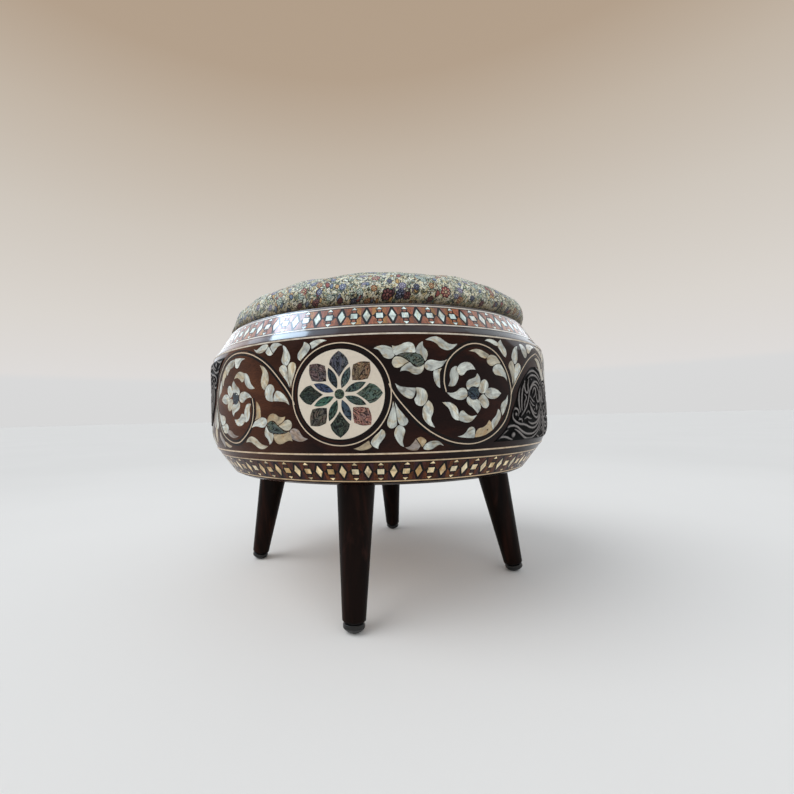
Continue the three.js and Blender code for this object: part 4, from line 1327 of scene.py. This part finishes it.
CUSHION_SIDES = 480
COVER_SIDES = 96
COVER_STEP = 4
COVER_FRAMES = 20
COVER_SLACK = 4.0
HELD_ROWS = 4  # over which the cover comes free of the staples
FREE_RADIUS = 70  # inside it the start is less uneven towards the middle
PUSH_OUT, PUSH_UP = 0.6, 0.8
COVER_CLOTH = {
    "quality": 6, "tension_stiffness": 30, "compression_stiffness": 30, "shear_stiffness": 10,
    "bending_stiffness": 1, "use_pressure": True, "uniform_pressure_force": 4,
    "vertex_group_mass": "stapled",
}
STRAY_LIMIT = 0.8
STRAY_WAVES = 30
# Uneven packing of the foam: lobes round the seat, size in millimetres, twist from row to row
PACKING = [
    (2, 0.5, 0.3), (3, 0.45, -0.2), (5, 0.4, 0.25), (8, 0.35, -0.5), (13, 0.3, 0.7), (19, 0.25, -0.9),
]
CUSHION_LEAN = Vector((3.8, 0.5))
BULGE_STEPS, CROWN_STEPS = 12, 90
# On the left the cushion stands further out above its bulge and less far below it
LEFT_ANGLE = math.pi * 0.97
LEFT_OUT, LEFT_IN = 4.0, 6.0
LEFT_RISE, LEFT_FADE = 10, 14
LEFT_LOW, LEFT_LOW_REACH = 4, 6
PUCKER = 0.11
PUCKER_WAVES = (23, 37, 58, 83)
PUCKER_REACH = 7
# painted shade on the cloth under its bulge, towards the neck
RIM_PAINTED_SHADE = (12, 22)  # where the cloth darkens towards the rim: from above the bulge, over a height
HEM_Z = SEAT_LOW.z
FLOWER_SPACING = 14.5
FLOWER_TRIES = 9000
FLOWER_RADII = (3.0, 5.4)
FLOWER_MARGIN = 12  # from where the cloth turns under the board
FRONT_GROWTH = 1.15
# Each flower is painted out to 1.7 of its radius, and turned and shifted in the noise by its number
BLOOM_REACH = 1.7
BLOOM_TURN = 2.4
BLOOM_SHIFT = 3.7
FLOWER_KINDS = {
    "red": ("a63a40", "35121a", "dccfa6"), "wine": ("57232a", "12090b", "a06a66"),
    "blue": ("56658f", "1b2240", "cfd6e0"), "violet": ("83819f", "34325a", "d6d2e0"),
    "mint": ("b0c8be", "233a38", "eaf0e4"), "orange": ("b8764a", "4c2812", "ead8a8"),
    "navy": ("2c3450", "0a0c14", "8890ac"),
}
# Flowers at the front: image place, radius in millimetres, kind
FRONT_FLOWERS = [
    (339, 287, 3.8, "blue"), (360, 284.5, 2.2, "violet"), (372, 278.5, 4.2, "red"),
    (380, 274.4, 2.6, "blue"), (385.5, 281.5, 2.8, "navy"), (398.5, 285.5, 3.8, "violet"),
    (384, 295, 5.6, "wine"), (396.5, 295, 4.6, "navy"), (404.5, 296, 3.6, "wine"),
    (414, 276.8, 3.2, "mint"), (419.5, 279.5, 3, "mint"), (413, 287.5, 3.4, "navy"),
    (435, 276.8, 2.8, "red"), (442.5, 291, 5.4, "red"), (338, 301, 3.2, "wine"),
    (352, 301, 3.2, "navy"), (457, 289, 3.2, "violet"), (453.5, 295.6, 2.8, "blue"),
    (458, 300, 3.4, "orange"), (462, 281.5, 2.8, "violet"), (472, 285.6, 3.6, "mint"),
    (470, 297, 3.2, "navy"), (489.5, 292, 3.4, "red"), (494.5, 290, 3, "blue"),
    (485, 287, 2.4, "red"), (495, 303.5, 2.8, "navy"), (506, 310, 3.2, "navy"),
    (514.5, 310.5, 3.8, "orange"), (300.5, 293, 3.8, "red"), (298, 298, 3.2, "mint"),
    (310.5, 285, 3.2, "blue"), (316, 285.8, 3.2, "orange"), (316, 293, 3.2, "blue"),
    (313.5, 303, 4.4, "wine"), (298, 306.5, 3.6, "wine"), (277, 303.5, 4.4, "mint"),
    (278.5, 296.5, 3.2, "orange"), (256.5, 308.5, 3.2, "violet"), (268.5, 309, 3.2, "violet"),
    (288.5, 288, 2.8, "red"), (251, 318, 2.6, "violet"), (428, 300, 3.4, "wine"),
    (326, 297, 3.2, "mint"), (356, 292, 3.4, "mint"), (370, 289, 3.2, "orange"),
    (240, 321, 3.4, "navy"), (288, 311, 3.4, "navy"), (480, 304, 3.4, "wine"),
    (366, 302, 3.4, "orange"), (428, 286, 3, "orange"),
]


def cushion_profile():
    """Neck, bulge over the lip and crown, as (radius, height)."""
    points = []
    for k in range(BULGE_STEPS):
        angle = k / BULGE_STEPS * math.pi / 2
        points.append((NECK_RADIUS + (BULGE_RADIUS - NECK_RADIUS) * math.sin(angle),
                       BULGE_Z - (BULGE_Z - BULGE_FOOT_Z) * math.cos(angle)))
    for k in range(CROWN_STEPS + 1):
        angle = k / CROWN_STEPS * math.pi / 2
        plan = math.cos(angle) ** (2 / CROWN_PLAN_POWER) if k < CROWN_STEPS else 0
        rise = math.sin(angle) ** (2 / CROWN_RISE_POWER)
        points.append((BULGE_RADIUS * plan, BULGE_Z + (CROWN_Z - BULGE_Z) * rise))
    return points


class Drape:
    """Lays the flat cloth over the cushion: distance from its middle is measured down the profile."""

    def __init__(self, profile):
        self.spots = np.array(list(reversed(profile)))
        steps = np.linalg.norm(np.diff(self.spots, axis=0), axis=1)
        self.reach = np.concatenate([[0.0], np.cumsum(steps)])

    def flat(self, points):
        """Flat cloth coordinates of points on the cushion, all in millimetres."""
        radius = np.hypot(points[:, 0], points[:, 1])
        nearest = np.array([np.argmin((self.spots[:, 0] - r) ** 2 + (self.spots[:, 1] - h) ** 2)
                            for r, h in zip(radius, points[:, 2])])
        angle, reach = np.arctan2(points[:, 1], points[:, 0]), self.reach[nearest]
        return np.column_stack([reach * np.cos(angle), reach * np.sin(angle)])


def camera_ray(x, y):
    """Direction through an image place of the photograph's frame."""
    turn = bpy.context.scene.camera.matrix_world.to_3x3()
    return (turn @ Vector((x - CENTRE_PIXELS[0], CENTRE_PIXELS[1] - y, -FOCAL_PIXELS))).normalized()


def lay_out_flowers(obj, drape):
    """Flower places on the flat cloth, radii and colours: the front ones first, then a scatter."""
    tree = bvhtree.BVHTree.FromPolygons([v.co for v in obj.data.vertices],
                                        [tuple(f.vertices) for f in obj.data.polygons])
    flowers = []
    for x, y, radius, kind in FRONT_FLOWERS:
        hit = tree.ray_cast(CAMERA_PLACE, camera_ray(x, y))[0]
        if hit is not None:
            flowers.append((drape.flat(np.array([hit[:]]) / MM)[0], radius * FRONT_GROWTH, kind))
    kinds = list(FLOWER_KINDS)
    limit = drape.reach[-2] - FLOWER_MARGIN
    for _ in range(FLOWER_TRIES):
        away, angle = limit * math.sqrt(random.random()), random.uniform(0, FULL_TURN)
        spot = np.array([away * math.cos(angle), away * math.sin(angle)])
        kind, radius = random.choice(kinds), random.uniform(*FLOWER_RADII)
        if all(math.dist(spot, other[0]) > FLOWER_SPACING for other in flowers):
            flowers.append((spot, radius, kind))
    return flowers


def paint_flowers(mesh, cloth, flowers):
    """Writes each point's place in its nearest flower, and that flower's colours."""
    places, radii = (np.array([flower[k] for flower in flowers]) for k in (0, 1))
    offsets = cloth[:, None, :] - places[None]
    away = np.linalg.norm(offsets, axis=2) / radii
    nearest = away.argmin(axis=1)
    rows = np.arange(len(cloth))
    local = offsets[rows, nearest] / radii[nearest, None]
    cosine, sine = np.cos(nearest * BLOOM_TURN), np.sin(nearest * BLOOM_TURN)
    bloom = np.column_stack([local[:, 0] * cosine - local[:, 1] * sine,
                             local[:, 0] * sine + local[:, 1] * cosine, nearest * BLOOM_SHIFT])
    write_attribute(mesh, "bloom", "FLOAT_VECTOR", "vector", bloom)
    write_attribute(mesh, "bloom_on", "FLOAT", "value", away[rows, nearest] < BLOOM_REACH)
    for column, name in enumerate(("petal", "edge", "heart")):
        palette = np.array([opaque(FLOWER_KINDS[kind][column]) for _, _, kind in flowers])
        write_attribute(mesh, name, "FLOAT_COLOR", "color", palette[nearest])


def settle_cover(visible):
    """Millimetres the stretched cover strays outward and upward from its even shape, by row and side.

    A coarse cover over unevenly packed foam, a little small, is blown up in a cloth simulation.
    """
    rows = visible[:-1:COVER_STEP]
    angles = np.arange(COVER_SIDES) * FULL_TURN / COVER_SIDES
    level = np.arange(len(rows))[:, None]
    uneven = sum(size * np.sin(n * angles + n * n + level * twist) for n, size, twist in PACKING)
    radius, height = (np.array([row[k] for row in rows])[:, None] for k in (0, 1))
    slack = np.clip(level / HELD_ROWS, 0, 1) * np.minimum(1, radius / FREE_RADIUS)

    def shape(radii, heights):
        return np.stack([radii * np.cos(angles), radii * np.sin(angles), heights + 0 * angles], axis=2)

    even = shape(radius, height)
    push = (uneven - COVER_SLACK) * slack
    start = shape(radius + push * PUSH_OUT, height + push * PUSH_UP)
    points = [tuple(p) for p in start.reshape(-1, 3)] + [(0, 0, visible[-1][1] - COVER_SLACK * PUSH_UP)]
    faces = []
    last = (len(rows) - 1) * COVER_SIDES
    for k in range(COVER_SIDES):
        n = (k + 1) % COVER_SIDES
        faces += [[row + k, row + n, row + COVER_SIDES + n, row + COVER_SIDES + k]
                  for row in range(0, last, COVER_SIDES)]
        faces.append([last + k, last + n, len(points) - 1])
    cover = make_object("cover_in_simulation", points, faces, FABRIC, 80.0)
    cover.vertex_groups.new(name="stapled").add(list(range(COVER_SIDES)), 1.0, "REPLACE")
    cloth = cover.modifiers.new("Cloth", "CLOTH")
    for setting, value in COVER_CLOTH.items():
        setattr(cloth.settings, setting, value)
    cloth.settings.effector_weights.gravity = 0
    cloth.point_cache.frame_end = COVER_FRAMES
    for frame_number in range(1, COVER_FRAMES + 1):
        bpy.context.scene.frame_set(frame_number)
    blown = cover.evaluated_get(bpy.context.evaluated_depsgraph_get()).to_mesh()
    ends = np.array([v.co[:] for v in blown.vertices])[:-1].reshape(even.shape) / MM
    bpy.data.objects.remove(cover)
    bpy.context.scene.frame_set(1)
    moved = ends - even
    radial = moved[:, :, 0] * np.cos(angles) + moved[:, :, 1] * np.sin(angles)
    stray = np.stack([radial, moved[:, :, 2]], axis=2)
    stray -= stray.mean(axis=1, keepdims=True)
    stray = np.clip(stray, -STRAY_LIMIT, STRAY_LIMIT) * slack[:, :, None]
    waves = np.fft.rfft(stray, axis=1)[:, :STRAY_WAVES]
    fine = np.fft.irfft(waves, n=CUSHION_SIDES, axis=1) * CUSHION_SIDES / COVER_SIDES
    place = np.arange(len(visible) - 1) / COVER_STEP
    base = np.minimum(place.astype(int), len(rows) - 1)
    share = (place - base)[:, None, None]
    a, b, c, d = (fine[np.clip(base + k, 0, len(rows) - 1)] for k in (-1, 0, 1, 2))
    return b + share / 2 * (c - a + share * (2 * a - 5 * b + 4 * c - d + share * (3 * (b - c) + d - a)))


def build_cushion():
    board = corners("seat_board")[1]
    board_top, board_radius = board.z + 0.1, board.x + 0.2
    hem_top = HEM_Z + HEM_THICKNESS
    visible = cushion_profile()
    profile = [
        (0, board_top), (board_radius, board_top), (board_radius, hem_top), (HEM_INNER_RADIUS, hem_top),
        (HEM_INNER_RADIUS, HEM_Z), (NECK_RADIUS - 1, HEM_Z), (NECK_RADIUS, HEM_Z + 1), *visible,
    ]
    obj = turned("seat_cushion", profile, FABRIC, CUSHION_SIDES, sharp=60.0)
    mesh = obj.data
    points = np.array([v.co[:] for v in mesh.vertices]) / MM
    drape = Drape(profile[4:])  # from the hem's inner edge on
    cloth = drape.flat(points)
    angle = np.arctan2(points[:, 1], points[:, 0])
    height = points[:, 2].copy()
    lift = np.clip((height - BULGE_FOOT_Z) / (BULGE_Z - BULGE_FOOT_Z), 0, 1)
    points[:, :2] += lift[:, None] * CUSHION_LEAN[:]
    left = np.clip(np.cos(angle - LEFT_ANGLE), 0, 1) ** 3
    above = np.clip((height - BULGE_Z) / LEFT_RISE, 0, 1)
    above *= np.clip((CROWN_Z - height) / LEFT_FADE, 0, 1)
    below = np.exp(-((height - BULGE_FOOT_Z - LEFT_LOW) / LEFT_LOW_REACH) ** 2)
    below *= height > BULGE_FOOT_Z - 1
    points[:, 0] += left * (LEFT_OUT * above - LEFT_IN * below)
    stray = settle_cover(visible)
    first = 1 + CUSHION_SIDES * (len(profile) - len(visible) - 1)
    cover = slice(first, first + CUSHION_SIDES * (len(visible) - 1))
    points[cover, 0] += stray[:, :, 0].ravel() * np.cos(angle[cover])
    points[cover, 1] += stray[:, :, 0].ravel() * np.sin(angle[cover])
    points[cover, 2] += stray[:, :, 1].ravel()
    pucker = sum(np.sin(angle * n + n * n) for n in PUCKER_WAVES) * PUCKER
    near_rim = np.exp(-((height - BULGE_Z) / PUCKER_REACH) ** 2) * (height > BULGE_FOOT_Z)
    radius = np.hypot(points[:, 0], points[:, 1]) + 1e-9
    points[:, :2] *= (1 + pucker * near_rim / radius)[:, None]
    mesh.vertices.foreach_set("co", (points * MM).astype(np.float32).ravel())
    mesh.update()
    write_attribute(mesh, "cloth", "FLOAT_VECTOR", "vector", np.column_stack([cloth, 0 * angle]))
    # painted shade, strongest at the neck under the bulge
    shade = np.clip((BULGE_Z + RIM_PAINTED_SHADE[0] - height) / RIM_PAINTED_SHADE[1], 0, 1) ** 1.5
    write_attribute(mesh, "rim", "FLOAT", "value", shade)
    paint_flowers(mesh, cloth, lay_out_flowers(obj, drape))
    finish_piece(obj, "seat", "brocade", "seat_cover", "seat_foam")


# Legs and feet


def leg_frame(turn):
    """Carries a point of a leg's own frame, +Z up its axis, to the stool's frame."""
    matrix = (Matrix.Rotation(math.radians(turn), 4, "Z")
              @ Matrix.Translation((LEG_FLOOR_RADIUS, 0, 0)) @ Matrix.Rotation(-LEG_SPLAY, 4, "Y"))
    return lambda x, y, z: tuple(matrix @ Vector((x, y, z)))


def build_leg(side, turn):
    place = leg_frame(turn)
    head = UNDERSIDE_Z / math.cos(LEG_SPLAY)
    start = LEG_END + LEG_FOOT_ROUND
    taper = [(LEG_FOOT_RADIUS + (LEG_HEAD_RADIUS - LEG_FOOT_RADIUS) * k / TAPER_STEPS,
              start + (head - start) * k / TAPER_STEPS) for k in range(1, TAPER_STEPS + 1)]
    foot = rounded((LEG_FOOT_RADIUS, LEG_END), (0, LEG_END), (LEG_FOOT_RADIUS, head), LEG_FOOT_ROUND)
    profile = [(0, LEG_END), (LEG_BORE, LEG_END), *foot, *taper, (0, head)]
    limit = UNDERSIDE_Z - GAP

    def cut_level(x, y, z):
        """The leg's head ends level, just under the drum."""
        point = Vector(place(x, y, z))
        if z > head - HEAD_REGION:
            along = Vector(place(x, y, z - 1)) - point
            point += along * ((limit - point.z) / along.z)
        return tuple(point)

    leg = turned(f"leg_{side}_turned", profile, LEG, LEG_SIDES, cut_level, 40.0)
    finish_piece(leg, "drum", "leg_lacquer", f"leg_{side}")


def build_foot(side, turn):
    place = leg_frame(turn)
    dome_edge = math.asin(PAD_RADIUS / PAD_DOME_RADIUS)
    dome = [(PAD_DOME_RADIUS * math.sin(a), DOME_CENTRE - PAD_DOME_RADIUS * math.cos(a))
            for a in (dome_edge * k / DOME_STEPS for k in range(DOME_STEPS + 1))]
    shoulder = (PAD_RADIUS, PAD_HEAD)
    neck = (PAD_NECK_RADIUS, PAD_HEAD)
    top = PAD_HEAD + PAD_NECK_HEIGHT
    bore, depth = STUD_BORE
    profile = [
        *dome[:-1], *rounded(dome[-1], dome[-2], shoulder, PAD_FOOT_ROUND),
        *rounded(shoulder, dome[-1], neck, PAD_HEAD_ROUND), neck, (PAD_NECK_RADIUS, top),
        (bore, top), (bore, top - depth), (0, top - depth),
    ]

    def on_floor(x, y, z):
        """The tilted pad is cut flat by the floor."""
        px, py, pz = place(x, y, z)
        return (px, py, max(pz, 0.0))

    pad = turned(f"foot_pad_{side}_moulded", profile, PLASTIC, PAD_SIDES, on_floor, 50.0)
    finish_piece(pad, f"foot_{side}", "pad_plastic", f"foot_pad_{side}")


# Materials of the frame's own pieces that stay, by the start of their names
DRESS = {
    "base_board": BARE_WOOD, "seat_board": BARE_WOOD, "seat_locator_ring": BARE_WOOD,
    "leg_plate": STEEL, "hanger_bolt": STEEL, "plate_screw": STEEL, "foot_stud": STEEL,
    "foot_insert": BRASS,
}


def dress_kept_nodes():
    for name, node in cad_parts.items():
        for start, material in DRESS.items():
            if name.startswith(start):
                node.data.materials.clear()
                node.data.materials.append(material)


# Stage, light and camera

CAMERA_PLACE = Vector((84.17, -573.42, 212.96)) * MM
CAMERA_YAW = math.radians(-10.913)
CAMERA_PITCH = math.radians(1.569)
CAMERA_ROLL = math.radians(-1.323)
FRAME_PIXELS = 794
FOCAL_PIXELS = 394.62
CENTRE_PIXELS = (358.08, 406.31)
SENSOR_WIDTH = 36.0


def build_camera():
    data = bpy.data.cameras.new("camera")
    data.sensor_width = SENSOR_WIDTH
    data.lens = FOCAL_PIXELS / FRAME_PIXELS * SENSOR_WIDTH
    data.shift_x = (FRAME_PIXELS / 2 - CENTRE_PIXELS[0]) / FRAME_PIXELS
    data.shift_y = (CENTRE_PIXELS[1] - FRAME_PIXELS / 2) / FRAME_PIXELS
    data.clip_start = 0.01
    forward = Vector((math.sin(CAMERA_YAW) * math.cos(CAMERA_PITCH),
                      math.cos(CAMERA_YAW) * math.cos(CAMERA_PITCH), math.sin(CAMERA_PITCH)))
    level = Vector((math.cos(CAMERA_YAW), -math.sin(CAMERA_YAW), 0))
    upright = level.cross(forward)
    right = level * math.cos(CAMERA_ROLL) + upright * math.sin(CAMERA_ROLL)
    up = upright * math.cos(CAMERA_ROLL) - level * math.sin(CAMERA_ROLL)
    camera = bpy.data.objects.new("camera", data)
    bpy.context.scene.collection.objects.link(camera)
    rotation = Matrix((right, up, -forward)).transposed().to_4x4()
    camera.matrix_world = Matrix.Translation(CAMERA_PLACE) @ rotation
    bpy.context.scene.camera = camera


def add_light(name, kind, power, color, rotation):
    data = bpy.data.lights.new(name, kind)
    data.energy = power
    data.color = color
    light = bpy.data.objects.new(name, data)
    bpy.context.scene.collection.objects.link(light)
    light.rotation_euler = rotation.to_euler()
    return light


def area_light(name, place, target, size, power, color):
    """A bright panel that only glossy surfaces mirror, like a window."""
    rotation = (Vector(target) - Vector(place)).to_track_quat("-Z", "Y")
    light = add_light(name, "AREA", power, color, rotation)
    light.data.shape = "RECTANGLE"
    light.data.size, light.data.size_y = size
    light.location = place
    light.visible_camera = False
    light.visible_diffuse = False


def soft_sun(name, direction, strength, spread, color):
    """An even soft light from one side, that glossy surfaces don't mirror."""
    light = add_light(name, "SUN", strength, color, Vector(direction).to_track_quat("Z", "Y"))
    light.data.angle = math.radians(spread)
    light.visible_glossy = False


# Suns: name, direction they come from, strength, spread in degrees and colour
SUNS = [
    ("sky_light", (-0.6, -0.35, 0.75), 1.4, 50, (0.97, 0.985, 1.0)),
    ("front_fill", (0.35, -0.85, 0.4), 0.5, 60, (1.0, 0.97, 0.93)),
]
# Panels, in metres and watts: name, place, target, size, power and colour
BEVEL_FRONT = (-0.04, -0.21, 0.3)
SKY_BLUE = (0.62, 0.8, 1.0)
PALE_BLUE = (0.8, 0.9, 1.0)
PANEL_LIGHTS = [
    ("window", (-0.9, 0.04, 1.62), BEVEL_FRONT, (0.76, 0.46), 34, SKY_BLUE),
    ("window_glow", (-0.95, -0.1, 1.75), BEVEL_FRONT, (1.7, 1.2), 17, SKY_BLUE),
    ("ceiling", (0.1, 0.0, 2.6), (0, 0, 0.3), (2.6, 2.6), 42, (0.75, 0.87, 1.0)),
    ("left_glow", (-1.5, 1.0, 1.25), BEVEL_FRONT, (1.3, 1.3), 12, PALE_BLUE),
    ("right_glow", (1.3, 0.95, 1.4), (0.15, -0.15, 0.3), (1.6, 1.4), 17, PALE_BLUE),
]
AMBIENT = (0.93, 0.96, 1.0, 1.0)
AMBIENT_STRENGTH = 0.62
# The backdrop's colours by height of the line of sight
HORIZON_TONES = [
    (0.0, "d8d8d8"), (0.088, "d9d9d9"), (0.1, "dedbd9"), (0.22, "dad5cf"), (0.4, "cfc7bd"),
    (0.55, "c2b5a6"), (0.66, "b3a08c"), (1.0, "ac9780"),
]
FLOOR_REACH = 40.0
# Floor tones: a painted pool of light round the stool that dims far off
FLOOR_NEAR_PAINTED_LIGHT = (0.83, 0.825, 0.81)
FLOOR_FAR_PAINTED_DIMMING = (0.735, 0.73, 0.715)


def build_world():
    """A beige studio wall behind the floor, and an even soft light."""
    world = bpy.data.worlds.new("studio")
    bpy.context.scene.world = world
    s = Nodes(world)
    light = s.tree.nodes["Background"]
    light.inputs["Color"].default_value = AMBIENT
    light.inputs["Strength"].default_value = AMBIENT_STRENGTH
    height = s.add("SeparateXYZ", {0: s.add("TexCoord").outputs["Generated"]}).outputs["Z"]
    wall = s.add("Background", {"Color": s.ramp(height, *HORIZON_TONES)})
    path = s.add("LightPath").outputs
    seen = s.math("MAXIMUM", path["Is Camera Ray"], path["Is Glossy Ray"])
    seen = s.math("MAXIMUM", seen, path["Is Transmission Ray"])
    blend = s.add("MixShader", {0: seen, 1: light.outputs[0], 2: wall.outputs[0]})
    s.feed(s.tree.nodes["World Output"].inputs["Surface"], blend.outputs[0])


def build_stage():
    floor = Shader("pale_floor", Roughness=0.9, Specular_IOR_Level=0.0)
    grey = floor.ramp(floor.noise(floor.place(), 2.0, 2.0), (0.3, 0.99), (0.7, 1.01))
    away = floor.add("VectorMath", {"Vector": floor.place()}, operation="LENGTH").outputs["Value"]
    # painted pool of light: lighter near the stool, darker far off
    tone = floor.ramp(floor.math("MULTIPLY", away, 0.4), (0.1, FLOOR_NEAR_PAINTED_LIGHT), (0.7, FLOOR_FAR_PAINTED_DIMMING))
    floor.color(floor.times(tone, grey))
    reach = FLOOR_REACH / MM
    points = [(-reach, -reach, 0), (reach, -reach, 0), (reach, reach, 0), (-reach, reach, 0)]
    make_object("stage_floor", points, [[0, 1, 2, 3]], floor.material, 80.0)
    build_world()
    for sun in SUNS:
        soft_sun(*sun)
    for panel in PANEL_LIGHTS:
        area_light(*panel)


build_camera()
build_wall()
build_rims()
build_strings()
build_lip()
build_band(UPPER, "upper", UPPER_BAND_PHASE)
build_band(LOWER, "lower", LOWER_BAND_PHASE)
build_scrolls()
build_medallions()
build_panels()
build_cushion()
for side_name, side_turn in LEG_TURNS.items():
    build_leg(side_name, side_turn)
    build_foot(side_name, side_turn)
dress_kept_nodes()
build_stage()

bpy.context.scene.view_settings.view_transform = "Standard"
